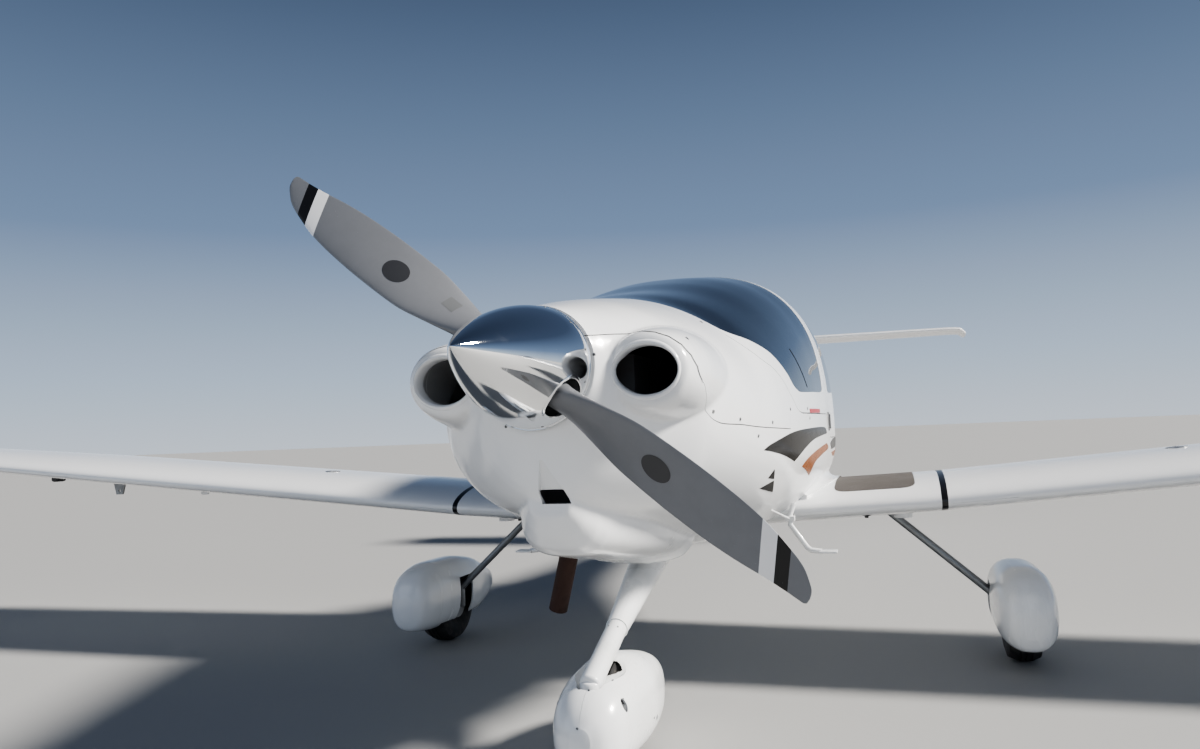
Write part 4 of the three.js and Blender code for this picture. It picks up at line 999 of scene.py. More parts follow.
def polished(name, colour):
    """Mirror-polished spun metal with turning marks round its shaft."""
    f = Finish(name, colour, 0.06, 1.0)
    _, y, _ = f.axes()
    rings = f.node("ShaderNodeTexNoise", {"noise_dimensions": "1D"},
                   {"W": y, "Scale": 420.0, "Detail": 2.0})[0]
    smears = f.noise(7.0, 5, 0.6)
    f.set("Base Color", f.mix(smears.rising(0.5, 0.8) * 0.3, colour, scaled(colour, 0.72)))
    f.set("Roughness", smears.rising(0.45, 0.8) * 0.07 + 0.035)
    f.bump(rings, 0.00006, 0.5)
    return f.material


BAND_RAKE = 0.56


def blade_coat(name, colour):
    """Satin grey with black and white tip bands and fine chips towards the tip."""
    f = Finish(name, colour, 0.38, 0.15, coat_weight=0.15)
    dot = {"operation": "DOT_PRODUCT"}
    offset = f.node("ShaderNodeVectorMath", {"operation": "SUBTRACT"}, {0: f.place(), 1: HUB})[0]
    reach = f.node("ShaderNodeVectorMath", dot, {0: offset, 1: BLADE_AXIS})[1]
    lead = f.node("ShaderNodeVectorMath", dot, {0: offset, 1: SHAFT.cross(BLADE_AXIS)})[1]
    along = reach.size()
    raked = along + lead * reach.join("SIGN") * BAND_RAKE
    soft = 0.0012

    def band(low, high):
        return raked.rising(low, low + soft) - raked.rising(high, high + soft)

    cloud = f.noise(14.0, 5, 0.6)
    chips = (f.noise(160.0, 3, 0.7) > 0.72) * along.rising(0.35, 0.9)
    shade = f.mix(cloud.rising(0.35, 0.75) * 0.35, colour, scaled(colour, 0.82))
    shade = f.mix(band(0.810, 0.8555), shade, (0.83, 0.83, 0.84))
    shade = f.mix(band(0.8555, 0.896), shade, (0.008, 0.008, 0.009))
    f.set("Base Color", f.mix(chips * 0.5, shade, (0.55, 0.56, 0.57)))
    f.set("Roughness", cloud * 0.18 + 0.28)
    f.bump(f.noise(500.0, 2) * 0.3 - chips * 0.8, 0.0002, 0.6)
    return f.material


def rough_metal(name, colour, roughness, metallic, grain=60.0, stain=(0.12, 0.08, 0.05), stained=0.3):
    """Bare metal with grain, blotches and stains."""
    f = Finish(name, colour, roughness, metallic)
    blotch = f.noise(11.0, 6, 0.62)
    fine = f.noise(grain, 4, 0.6)
    f.set("Base Color", f.mix(blotch.rising(0.45, 0.75) * stained, colour, stain))
    f.set("Roughness", blotch * 0.25 + fine * 0.15 + roughness - 0.18)
    f.bump(fine + blotch * 0.5, 0.0004, 0.5)
    return f.material


def moulded(name, colour):
    """Dark moulded trim with a leather-like grain."""
    f = Finish(name, colour, 0.6)
    grain = f.cells(900.0)
    cloud = f.noise(9.0, 4)
    f.set("Base Color", f.mix(cloud.rising(0.4, 0.8) * 0.5, colour, scaled(colour, 1.9, 0.01)))
    f.set("Roughness", cloud * 0.2 + 0.5)
    f.bump(grain, 0.0003, 0.5)
    return f.material


def rubber(name, colour):
    """Tyre rubber with dusty shoulders."""
    f = Finish(name, colour, 0.8)
    dust = f.noise(24.0, 5, 0.65).rising(0.42, 0.72)
    fine = f.noise(420.0, 3, 0.7)
    f.set("Base Color", f.mix(dust * 0.55, colour, (0.11, 0.1, 0.088)))
    f.set("Roughness", dust * 0.12 + 0.74)
    f.bump(fine + dust * 0.4, 0.0005, 0.6)
    return f.material


def cloth(name, colour):
    """Woven seat cloth with a soft nap."""
    f = Finish(name, colour, 0.85, sheen_weight=0.35, sheen_roughness=0.5)
    x, y, z = f.axes()
    pitch = 2 * math.pi / 0.0032
    warp = ((x + z * 0.4) * pitch).join("SINE")
    weft = ((y + z) * pitch).join("SINE")
    weave = (warp * weft).rising(-0.8, 0.8)
    nap = f.noise(30.0, 5, 0.65)
    shade = f.mix(nap.rising(0.3, 0.75) * 0.5, colour, scaled(colour, 0.6))
    f.set("Base Color", f.mix(weave * 0.3, shade, tuple(min(c * 1.35, 1) for c in colour)))
    f.set("Roughness", nap * 0.1 + 0.8)
    f.bump(weave * 0.6 + nap * 0.6, 0.0008, 0.7)
    return f.material


def grit(name, colour):
    """Rough walkway mat."""
    f = Finish(name, colour, 0.92)
    grains = f.cells(520.0)
    dust = f.noise(12.0, 5, 0.6).rising(0.4, 0.75)
    f.set("Base Color", f.mix(dust * 0.4, colour, (0.12, 0.115, 0.11)))
    f.set("Roughness", grains * 0.1 + 0.85)
    f.bump(grains, 0.0012, 0.9)
    return f.material


def flat_coat(name, colour, roughness=0.35, ior=1.5, gloss=0.25):
    """Film or enamel in one colour, a little faded in patches."""
    f = Finish(name, colour, roughness, coat_weight=gloss, ior=ior)
    faded = f.noise(10.0, 5, 0.6)
    f.set("Base Color", f.mix(faded.rising(0.4, 0.8) * 0.3, colour, scaled(colour, 0.75, 0.02)))
    f.set("Roughness", faded * 0.15 + roughness - 0.06)
    f.bump(f.noise(300.0, 2), 0.0001, 0.4)
    return f.material


def ground(name, colour):
    """Plain studio floor."""
    f = Finish(name, colour, 0.75)
    cloud = f.noise(0.35, 3)
    f.set("Base Color", f.mix(cloud * 0.2, colour, scaled(colour, 0.94)))
    return f.material


FINISHES = {}


class AircraftLooks(bpy.types.PropertyGroup):
    """Colours and sizes that a user would change."""
    paint: FloatVectorProperty(name="Paint", description="Colour of the painted skins", subtype="COLOR",
                               min=0, max=1, default=(0.82, 0.83, 0.84))
    tint: FloatVectorProperty(name="Glazing", description="Colour of the smoked glazing", subtype="COLOR",
                              min=0, max=1, default=(0.010, 0.014, 0.022))
    blade: FloatVectorProperty(name="Blades", description="Colour of the propeller blades", subtype="COLOR",
                               min=0, max=1, default=(0.185, 0.192, 0.207))
    seat: FloatVectorProperty(name="Seats", description="Colour of the seat cloth", subtype="COLOR",
                              min=0, max=1, default=(0.20, 0.175, 0.14))
    stripe_dark: FloatVectorProperty(name="Dark stripe", description="Colour of the dark side flash",
                                     subtype="COLOR", min=0, max=1, default=(0.014, 0.013, 0.012))
    stripe_warm: FloatVectorProperty(name="Warm stripe", description="Colour of the lower side flash",
                                     subtype="COLOR", min=0, max=1, default=(0.235, 0.078, 0.022))
    floor: FloatVectorProperty(name="Floor", description="Colour of the studio floor", subtype="COLOR",
                               min=0, max=1, default=(0.36, 0.36, 0.355))
    seam: FloatProperty(name="Seam", description="Gap between panels", default=SEAM, min=0.001, max=0.006,
                        unit="LENGTH")
    sun: FloatProperty(name="Sun", description="Strength of the main light", default=5.2, min=0, max=10)
    fastener: FloatProperty(name="Fastener", description="Diameter of the panel fasteners", default=0.014,
                            min=0.004, max=0.03, unit="LENGTH")
    pad_frames: IntProperty(name="Padding steps", description="Steps of the seat cloth simulation",
                            default=20, min=1, max=40)


def looks():
    return bpy.context.scene.aircraft_looks


# Operators

class AIRCRAFT_OT_finishes(bpy.types.Operator):
    """Make the materials"""
    bl_idname = "aircraft.finishes"
    bl_label = "Finishes"

    def execute(self, context):
        colours = looks()
        rows = (
            ("white_paint", white_coat, tuple(colours.paint)),
            ("white_enamel", white_coat, scaled(colours.paint, 0.97)),
            ("tinted_glass", clear_tint, tuple(colours.tint)),
            ("polished_metal", polished, (0.86, 0.87, 0.88)),
            ("blade_grey", blade_coat, tuple(colours.blade)),
            ("alloy", rough_metal, (0.45, 0.46, 0.47), 0.42, 0.85),
            ("bare_steel", rough_metal, (0.30, 0.31, 0.32), 0.45, 0.8, 120.0),
            ("engine_metal", rough_metal, (0.16, 0.16, 0.165), 0.6, 0.6),
            ("rusty_steel", rough_metal, (0.060, 0.032, 0.024), 0.75, 0.3, 90.0, (0.024, 0.014, 0.012), 0.8),
            ("dark_trim", moulded, (0.022, 0.023, 0.026)),
            ("tyre_rubber", rubber, (0.018, 0.018, 0.019)),
            ("seat_cover", cloth, tuple(colours.seat)),
            ("mat", grit, (0.085, 0.076, 0.070)),
            ("dark_film", flat_coat, tuple(colours.stripe_dark), 0.16, 1.16, 0),
            ("warm_film", flat_coat, tuple(colours.stripe_warm), 0.2, 1.16, 0),
            ("red_film", flat_coat, (0.38, 0.012, 0.014)),
            ("black_film", flat_coat, (0.008, 0.008, 0.009), 0.3),
            ("grey_film", flat_coat, (0.13, 0.135, 0.14)),
            ("charcoal_film", flat_coat, (0.035, 0.036, 0.040)),
            ("pale_film", flat_coat, (0.42, 0.43, 0.44)),
            ("screen", flat_coat, (0.006, 0.008, 0.011), 0.12),
            ("green_film", flat_coat, (0.010, 0.22, 0.05), 0.15),
            ("floor", ground, tuple(colours.floor)),
        )
        for name, maker, *values in rows:
            FINISHES[name] = maker(name, *values)
        slots = {row["node"]: row["material_slot"] for row in frame["record"]["subparts"]}
        for name, node in frame["nodes"].items():
            node.data.materials.clear()
            node.data.materials.append(FINISHES[slots[name]])
        return {"FINISHED"}


class AIRCRAFT_OT_stage(bpy.types.Operator):
    """Set the floor, the soft lights and the camera"""
    bl_idname = "aircraft.stage"
    bl_label = "Stage"

    def execute(self, context):
        deselect()
        bpy.ops.mesh.primitive_plane_add(size=400, location=(0, 0, -0.0005))
        floor = settled(context.active_object)
        floor.name = floor.data.name = "floor"
        floor.data.materials.append(FINISHES["floor"])

        world = bpy.data.worlds.new("studio")
        context.scene.world = world
        world.use_nodes = True
        tree = world.node_tree
        direction = tree.nodes.new("ShaderNodeTexCoord")
        parts = tree.nodes.new("ShaderNodeSeparateXYZ")
        ramp = tree.nodes.new("ShaderNodeValToRGB")
        tree.links.new(direction.outputs["Generated"], parts.inputs[0])
        tree.links.new(parts.outputs["Z"], ramp.inputs[0])
        tree.links.new(ramp.outputs[0], tree.nodes["Background"].inputs["Color"])
        for i, (height, colour) in enumerate(BACKDROP):
            stop = ramp.color_ramp.elements[i] if i < 2 else ramp.color_ramp.elements.new(height)
            stop.position = height
            stop.color = (*colour, 1)

        # Soft lights: name, kind, place, aim, size or angle, strength, colour.
        rows = (
            ("sun", "SUN", (8.0, 1.4, 5.9), (0, 0, 0), math.radians(8), looks().sun, (1.0, 0.955, 0.89)),
            ("fill", "AREA", (-7.0, -9.0, 4.0), (0, -2.0, 1.0), 7.0, 60.0, (0.84, 0.91, 1.0)),
            ("front", "AREA", (3.0, -11.0, 5.0), (0, -2.0, 1.0), 5.0, 40.0, (0.95, 0.97, 1.0)),
        )
        for name, kind, place, target, size, strength, colour in rows:
            bpy.ops.object.light_add(type=kind, location=place)
            light = context.active_object
            light.name = name
            light.data.name = name
            light.data.energy = strength
            light.data.color = colour
            if kind == "SUN":
                light.data.angle = size
            else:
                light.data.shape = "DISK"
                light.data.size = size
            light.rotation_euler = (Vector(target) - Vector(place)).to_track_quat("-Z", "Y").to_euler()

        yaw, pitch, roll = (math.radians(degrees) for degrees in CAMERA_TURN)
        ahead = Vector((-math.sin(yaw) * math.cos(pitch), math.cos(yaw) * math.cos(pitch), math.sin(pitch)))
        right = Vector((math.cos(yaw), math.sin(yaw), 0))
        up = right.cross(ahead)
        right, up = right * math.cos(roll) + up * math.sin(roll), up * math.cos(roll) - right * math.sin(roll)
        bpy.ops.object.camera_add(location=at(*CAMERA_PLACE))
        camera = context.active_object
        camera.name = "camera"
        camera.rotation_euler = Matrix((right, up, -ahead)).transposed().to_euler()
        camera.data.sensor_width = 36
        camera.data.lens = CAMERA_LENS
        camera.data.clip_end = 500
        context.scene.camera = camera
        context.scene.view_settings.view_transform = "AgX"
        context.scene.view_settings.look = "AgX - Medium High Contrast"
        context.scene.view_settings.exposure = EXPOSURE
        return {"FINISHED"}


class AIRCRAFT_OT_fuselage(bpy.types.Operator):
    """Build the fuselage skin with its cabin opening, wing stubs and fin"""
    bl_idname = "aircraft.fuselage"
    bl_label = "Fuselage"

    def execute(self, context):
        body = hull(FIREWALL + FIT, 7.4)
        cabin = hull(FIREWALL + 0.04, CABIN_END, SKIN)
        within(cabin, block(at(-0.7, FIREWALL, FLOOR), at(0.7, CABIN_END + 0.01, FAR)))
        cut(body, copied(cabin), prism(canopy_outline()))
        stub = skin([wing_ring(STUB_ROOT), wing_ring((JOINT_X - FIT, *WING_ROWS[0][1:]))])
        liner = hull(FIREWALL + 0.04, CABIN_END, SKIN)
        for side in (1, -1):
            root = copied(stub, mirrored=side < 0)
            add(cut(root, liner, keep=True), fillet(side))
            add(body, root)
            jack_pad = at(side * 0.98, 2.48, 0.672)
            add(body, rod(jack_pad, jack_pad + Vector((0, 0, 0.07)), 0.04))
        bpy.data.objects.remove(stub)
        bpy.data.objects.remove(liner)
        cut(body, prism(flowing_edge(DOOR_EDGE), DOOR_HINGE_X),
            prism(flowing_edge(REAR_GLASS_EDGE), high_x=-DOOR_HINGE_X - GLASS_TOP_X), cabin)
        fin, rudder = split_off(fin_form(), at(0, *RUDDER_HINGE[0]), at(0, *RUDDER_HINGE[1]),
                                (0.040, 0.030), 0.006, 0.006, 0.7, 0.3)
        cut(fin, block(at(-0.06, 7.64, 1.856), at(0.06, 8.1, FIN_TOP + 0.01)))
        add(body, fin)
        for side in (1, -1):
            cut(body, rod(at(side * 0.8397, 2.66, 0.7483), at(side * 1.368, 2.7, 0.283), 0.0183))
        cut(body, rod(leg_point(1.4), leg_point(1.801), 0.0803))
        done(body, "fuselage_skin", "white_paint", node="fuselage")
        done(rudder, "rudder_skin", "white_paint", "rudder", "rudder")
        return {"FINISHED"}


def fin_form():
    flow = Flow(FIN_ROWS)
    rings = []
    for z in [*steps(1.04, 1.27, 6), *steps(1.28, FIN_TOP, 40)]:
        s, tail, half = flow.at(z)
        chord = tail - s
        rings.append([at(h * chord, s + x * chord, z) for x, h in aerofoil(half * 2 / chord, 0, 20)])
    return skin(rings)


def fillet(side):
    """The hollow corner between the fuselage's side and the top of a wing stub."""
    rings = []
    for u in steps(0, 1, 30):
        s = 2.26 + 1.16 * u
        radius = 0.014 + 0.05 * math.sin(math.pi * u) ** 0.7
        part = (s - 2.2) / 1.29
        x, h = min(aerofoil(0.125, CAMBER, 40)[:41], key=lambda point: abs(point[0] - part))
        top = 0.735 + h * 1.26
        half, beam, _, bottom, _, lower = HULL.at(s)
        side_x, low_x = (half * (1 - min(abs((beam - z) / (beam - bottom)), 1) ** lower) ** (1 / lower)
                         for z in (top + radius, top))
        corner = Vector((low_x, top + 0.004))
        above = Vector((side_x - 0.001, top + radius))
        beside = Vector((low_x + radius * 1.3, top - 0.001 + radius * 0.02))
        arc = [above * (1 - t) ** 2 + corner * 2 * t * (1 - t) + beside * t * t for t in steps(0, 1, 10)]
        ring = [*arc, Vector((low_x + radius, top - 0.03)), Vector((low_x - 0.02, top - 0.03)),
                Vector((side_x - 0.024, top + radius))]
        rings.append([at(side * p.x, s, p.y) for p in ring])
    return skin(rings)


class AIRCRAFT_OT_cowls(bpy.types.Operator):
    """Build the upper and lower cowls with their inlets"""
    bl_idname = "aircraft.cowls"
    bl_label = "Cowls"

    def execute(self, context):
        form = hull(0.505, 1.56, step=0.02)
        add(form, cheek(1), cheek(-1), keel())
        changed(form, "REMESH", mode="VOXEL", voxel_size=0.0075)
        changed(form, "SMOOTH", factor=0.5, iterations=4)
        behind = block(at(-0.4, KEEL_END, 0.5), at(0.4, 1.6, 0.95))
        cut(behind, hull(1.3, 1.62, -0.001))
        cut(form, behind)
        cut(form, rod(shaft_point(0.4), shaft_point(0.511), SPINNER_RADIUS + 0.02, sides=96),
            rod(shaft_point(0.43), shaft_point(0.62), 0.066),
            block(at(-1, FIREWALL, 0), at(1, FIREWALL + 0.3, FAR)))
        for side in (1, -1):
            add(form, inlet_lip(side))
            mouth = [oval_ring(s, side * INLET[0], INLET[1], INLET_HALF[0] + flare, INLET_HALF[1] + flare, 96)
                     for s, flare in ((0.5, 0.010), (0.552, 0.006), (0.556, 0.0025), (0.562, 0), (0.8, 0))]
            cut(form, skin(mouth), cheek(side, 0.03, 0.6))
        inner = add(hull(0.505 + COWL_SKIN, FIREWALL + 0.005, COWL_SKIN), keel(COWL_SKIN))
        cut(form, cut(inner, chin_ramp(0.007)), chin_slot(), chin_ramp(),
            bent_tube(EXHAUST_LINE, 0.041, smooth=False), prism(canopy_outline()))
        gap = looks().seam / 2
        upper = cut(copied(form), lower_reach(gap))
        lower = within(form, lower_reach(-gap))
        done(upper, "upper_cowl_skin", "white_paint", node="upper_cowl")
        done(lower, "lower_cowl_skin", "white_paint", node="lower_cowl")
        pipe = bent_tube(EXHAUST_LINE, 0.034, sides=48, smooth=False)
        _, elbow, mouth = EXHAUST_LINE
        run = (mouth - elbow).normalized()
        cut(pipe, rod(mouth - run * 0.14, mouth + run * 0.05, 0.0305))
        done(pipe, "exhaust_tube", "rusty_steel", node="exhaust_pipe")
        return {"FINISHED"}


def inlet_lip(side):
    """The rolled lip round a cooling inlet."""
    wide, high = INLET_HALF[0] - 0.004, INLET_HALF[1] - 0.004
    rings = []
    for c, n in turn(16):
        grow = 0.5 + 0.5 * c
        s = 0.567 - (0.017 if n > 0 else 0.030) * n
        rings.append(oval_ring(s, side * INLET[0], INLET[1], wide + (LIP_HALF[0] - wide) * grow,
                               high + (LIP_HALF[1] - high) * grow, 96))
    return skin([*rings, rings[0]], capped=False)


def lower_reach(grow):
    """The space that the lower cowl takes, up to its parting with the upper one."""
    brow = [*[(-x, z) for x, z in COWL_BROW[:0:-1]], *COWL_BROW,
            (WIDE, 1.24), (WIDE, 0.3), (-WIDE, 0.3), (-WIDE, 1.24)]
    front = skin([[at(x, s, z) for x, z in moved_out(brow, grow)] for s in (0.3, COWL_BROW_END + grow)])
    edge = [*flowing(COWL_PARTING), (1.56, 0.3), (0.65, 0.3)]
    return add(front, prism(moved_out(edge, grow)))


def chin_ramp(grow=0.0):
    """The shallow ramp that leads air down to the chin slot."""
    rings = []
    for u in steps(0, 1, 8):
        left, right = -0.022 + 0.022 * u - grow, 0.054 - 0.046 * u + grow
        z, back = 0.948 + (0.090 + grow) * u, 0.588 - 0.058 * u + grow
        rings.append([at(left, 0.45, z), at(right, 0.45, z), at(right, back, z), at(left, back, z)])
    return skin(rings)


def chin_slot():
    corners = ((-0.022, 0.908), (0.066, 0.908), (0.054, 0.950), (-0.022, 0.950))
    return skin([[at(x, s, z) for x, z in corners] for s in (0.5, 0.65)])


class AIRCRAFT_OT_canopy(bpy.types.Operator):
    """Build the canopy frame and its glass"""
    bl_idname = "aircraft.canopy"
    bl_label = "Canopy"

    def execute(self, context):
        rim = within(shell(1.0, 2.7), prism(canopy_outline(-looks().seam - 0.001)))
        cut(rim, prism(flowing_edge(GLASS_EDGE)))
        pane = within(shell(1.0, 2.7, *GLASS_DEPTHS), prism(flowing_edge(GLASS_EDGE, -GLASS_GAP)))
        done(rim, "canopy_frame_skin", "white_paint", "canopy", "canopy_frame")
        done(pane, "canopy_pane", "tinted_glass", "canopy", "canopy_glass")
        return {"FINISHED"}


class AIRCRAFT_OT_rear_door(bpy.types.Operator):
    """Build the rear door, its glass and the rear window"""
    bl_idname = "aircraft.rear_door"
    bl_label = "Rear door"

    def execute(self, context):
        edge = flowing_edge(DOOR_EDGE, -looks().seam - 0.001)
        door = within(shell(2.5, 3.8), prism(edge, DOOR_HINGE_X + 0.0055))
        cut(door, prism(flowing_edge(REAR_GLASS_EDGE), DOOR_HINGE_X + GLASS_TOP_X))
        edge = flowing_edge(REAR_GLASS_EDGE, -GLASS_GAP)
        pane = within(shell(2.5, 3.8, *GLASS_DEPTHS), prism(edge, DOOR_HINGE_X + GLASS_TOP_X + GLASS_GAP))
        window = copied(pane, mirrored=True)
        done(door, "rear_door_skin", "white_paint", "rear_door", "rear_door")
        done(pane, "rear_door_pane", "tinted_glass", "rear_door", "rear_door_glass")
        done(window, "rear_window_pane", "tinted_glass", node="rear_window_glass")
        return {"FINISHED"}


class AIRCRAFT_OT_wings(bpy.types.Operator):
    """Build both wings with flaps, ailerons, hinge brackets and tie-down lugs"""
    bl_idname = "aircraft.wings"
    bl_label = "Wings"

    def execute(self, context):
        low, high, part = FLAP
        wing, flap = split_off(whole_wing(), wing_point(low, part, 0.036), wing_point(high, part, 0.034),
                               None, 0.008, 0.008, 0.5, 0.4)
        low, high, part = AILERON
        wing, aileron = split_off(wing, wing_point(low, part), wing_point(high, part),
                                  (0.031, 0.025), 0.006, 0.008, 0.4, 0.4)
        for x in BRACKET_X:
            add(wing, hinge_bracket(x))
        foot = wing_point(LUG["x"], LUG["part"])
        reach = Vector((LUG["wide"] / 2, LUG["thick"] / 2, 0))
        add(wing, block(foot - reach - Vector((0, 0, LUG["deep"])), foot + reach))
        cut(wing, rod(foot + Vector((0, -0.05, -0.105)), foot + Vector((0, 0.05, -0.105)), 0.012))
        foot = wing_point(PLATE["x"], PLATE["part"])
        edge = PLATE["thick"] / 2
        corners = ((-1, -1), (1, -1), (1, 1), (-1, 1))
        plate = skin([[foot + Vector((x * half, y * edge, -drop)) for x, y in corners]
                      for half, drop in ((PLATE["root"], 0.05), (PLATE["tip"], PLATE["deep"]))])
        cut(plate, rod(foot + Vector((0, -0.05, -0.150)), foot + Vector((0, 0.05, -0.150)), 0.009))
        seal = coat(wing, block(at(JOINT_X - 0.01, 2.1, 0.5), at(JOINT_X + 0.024, 3.3, 1.0)), 0.0009)
        lens = coat(wing, block(at(5.70, 2.2, 1.0), at(5.83, 2.455, 1.4)), 0.0035)
        spot = seated(surface(wing), at(2.1, 2.60, 1.1))
        cap = rod(spot @ Vector((0, 0, -0.004)), spot @ Vector((0, 0, 0.002)), 0.042, round_edges=0.001)
        add(cap, block((-0.026, -0.004, 0), (0.026, 0.004, 0.0045), spot, round_edges=0.001))
        paired(wing, "wing_{}_skin", "white_paint", node="wing_{}")
        for part, solid in (("flap", flap), ("aileron", aileron)):
            paired(solid, part + "_{}_skin", "white_paint", part + "_{}", part + "_{}")
        paired(seal, "wing_joint_seal_{}", "black_film")
        paired(stall_strip(), "stall_strip_{}", "white_enamel")
        paired(plate, "wing_plate_{}", "bare_steel")
        paired(cap, "fuel_cap_{}", "alloy")
        twin = copied(lens, mirrored=True)
        done(lens, "wing_light_port", "red_film", slot="tinted_glass")
        done(twin, "wing_light_starboard", "green_film")
        done(pitot_mast(), "pitot_mast", "white_enamel")
        return {"FINISHED"}


def stall_strip():
    """A three-sided strip along the leading edge of the port wing."""
    return skin([[at(x, s - 0.006, z), at(x, s + 0.012, z + 0.009), at(x, s + 0.012, z - 0.009)]
                 for x, s, z in ((1.180, 2.231, 0.752), (1.435, 2.236, 0.774))])


def pitot_mast():
    """The mast under the port wing, with its slanted foot."""
    foot = wing_point(3.30, 0.30, 0.03)
    rings = []
    for drop, chord, back in ((0.0, 0.075, 0.0), (0.10, 0.060, 0.030), (0.135, 0.055, 0.040)):
        rings.append([foot + Vector((h * chord, back + part * chord, -drop))
                      for part, h in aerofoil(0.28, 0, 12)])
    return changed(skin(rings), "BEVEL", width=0.002, segments=2)


def hinge_bracket(x):
    """The fixed cover of a flap or aileron hinge under the wing."""
    low, high, part = FLAP if x < FLAP[1] else AILERON
    foot = wing_point(low, part).lerp(wing_point(high, part), (x - low) / (high - low))
    outline = ((-0.26, -0.018), (-0.10, -0.060), (-0.05, -0.060), (-0.042, -0.010), (-0.26, 0.010))
    form = prism([(foot.y + HALF_LENGTH + s, foot.z + z) for s, z in outline], x - 0.014, x + 0.014)
    return changed(form, "BEVEL", width=0.006, segments=3)


class AIRCRAFT_OT_tail(bpy.types.Operator):
    """Build the stabiliser with its bullet, the elevator and the ventral fin"""
    bl_idname = "aircraft.tail"
    bl_label = "Tail"

    def execute(self, context):
        flow = Flow(TAIL_ROWS[1:])
        ends = [(x, *flow.at(x)) for x in steps(1.5, 1.66, 16)]
        rows = [*[(-x, s, chord, z) for x, s, chord, z in ends[::-1]], TAIL_ROWS[0], *ends]
        span = skin([[at(x, s + part * chord, z + h * chord) for part, h in aerofoil(0.088, 0)]
                     for x, s, chord, z in rows])
        low, high = (at(side * ELEVATOR_HALF, *ELEVATOR_HINGE) for side in (-1, 1))
        stabiliser, elevator = split_off(span, low, high, (0.024, 0.024), 0.008, 0.008, 0.4, 0.16)
        bullet = Flow(BULLET_ROWS)
        rings = []
        for s in steps(BULLET_ROWS[0][0], BULLET_ROWS[-1][0], 24):
            half, rise = bullet.at(s)
            rings.append([at(half * math.cos(a), s, FIN_TOP + FIT + rise * math.sin(a))
                          for a in steps(0, math.pi, 20)])
        add(stabiliser, skin(rings))
        done(stabiliser, "stabiliser_skin", "white_paint", node="stabiliser")
        done(elevator, "elevator_skin", "white_paint", "elevator", "elevator")
        ventral = prism(rounded(VENTRAL_OUTLINE, 0.02), -0.014, 0.014)
        changed(ventral, "BEVEL", width=0.009, segments=3)
        cut(ventral, hull(6.6, 7.4, -FIT))
        done(ventral, "ventral_fin_skin", "white_paint", node="ventral_fin")
        return {"FINISHED"}


class AIRCRAFT_OT_propeller(bpy.types.Operator):
    """Build the spinner, the hub and the two blades"""
    bl_idname = "aircraft.propeller"
    bl_label = "Propeller"

    def execute(self, context):
        rings = [spinner_ring(SPINNER_LENGTH * u ** 1.6) for u in steps(0, 1, 56)]
        rings += [spinner_ring(0.02 + (SPINNER_LENGTH - 0.02) * u, 0.005) for u in steps(1, 0, 24)]
        spinner = skin([*rings, [shaft_point(0.02)] * len(rings[0])], capped=False)
        cut(spinner, rod(HUB - BLADE_AXIS * 0.4, HUB + BLADE_AXIS * 0.4, 0.062, sides=64))
        tree = surface(spinner)
        spots = []
        for degrees in [12.7 + 30 * k for k in range(12)]:
            turned_to = math.radians(degrees) - PROP_ANGLE
            if abs(math.sin(turned_to)) > math.sin(math.radians(16)):
                angle = math.radians(degrees)
                way = ACROSS * math.cos(angle) + UP_SHAFT * math.sin(angle)
                spots.append(shaft_point(0.470) + way * 0.18)
        fasteners("spinner_screws", tree, spots, "propeller", 0.0042)
        add(spinner, collar(1), collar(-1), turned(SPINNER_BEAD, SPINNER_TIP, SHAFT, 128))
        done(spinner, "spinner_shell", "polished_metal", "propeller", "spinner")
        hub = rod(shaft_point(SPINNER_LENGTH + FIT), shaft_point(SPINNER_LENGTH + 0.008),
                  SPINNER_RADIUS - 0.003, sides=96)
        add(hub, rod(shaft_point(0.335), shaft_point(0.6), 0.048),
            rod(HUB - BLADE_AXIS * 0.092, HUB + BLADE_AXIS * 0.092, 0.054))
        done(hub, "hub_body", "alloy", "propeller", "propeller_hub")
        oval = [(0.477 + 0.045 * c, 0.009 + 0.030 * n) for c, n in turn(48)]
        for name, direction in SIDES:
            solid = blade(direction)
            done(blade_mark(solid, direction, oval), f"blade_oval_{name}", "charcoal_film", "propeller")
            if direction < 0:
                patch = rounded(((0.249, -0.029), (0.249, 0.0), (0.297, 0.0), (0.297, -0.029)), 0.002)
                done(blade_mark(solid, direction, patch), f"blade_patch_{name}", "grey_film", "propeller")
            done(solid, f"blade_{name}", "blade_grey", "propeller", f"propeller_blade_{name}")
        return {"FINISHED"}


def spinner_radius(distance):
    return SPINNER_RADIUS * (1 - (1 - distance / SPINNER_LENGTH) ** 1.59) ** 0.896


def spinner_ring(distance, inset=0.0):
    radius = max(spinner_radius(distance) - inset, 0)
    return [shaft_point(distance) + (ACROSS * c + UP_SHAFT * n) * radius for c, n in turn(128)]


def collar(direction):
    """The rolled rim of the opening through which a blade leaves the spinner."""
    out = BLADE_AXIS * direction
    across = SHAFT.cross(out)
    rings = []
    for c, n in turn(96):
        ring = []
        for radius, lift in COLLAR:
            reach = math.sqrt(spinner_radius(HUB_DISTANCE - radius * n) ** 2 - (radius * c) ** 2) + lift
            ring.append(HUB + out * reach + across * (radius * c) + SHAFT * (radius * n))
        rings.append(ring)
    return skin([*rings, rings[0]], capped=False)


def blade_mark(solid, direction, outline):
    """A thin layer on a blade's front, inside an outline of radii and distances ahead of the pitch axis."""
    out = BLADE_AXIS * direction
    chordwise = SHAFT.cross(out)
    region = skin([[HUB + out * r + chordwise * lead + SHAFT * depth for r, lead in outline]
                   for depth in (-0.08, 0.12)])
    layer = moved(within(copied(solid), region), SHAFT * 0.0007)
    return cut(layer, solid, keep=True)


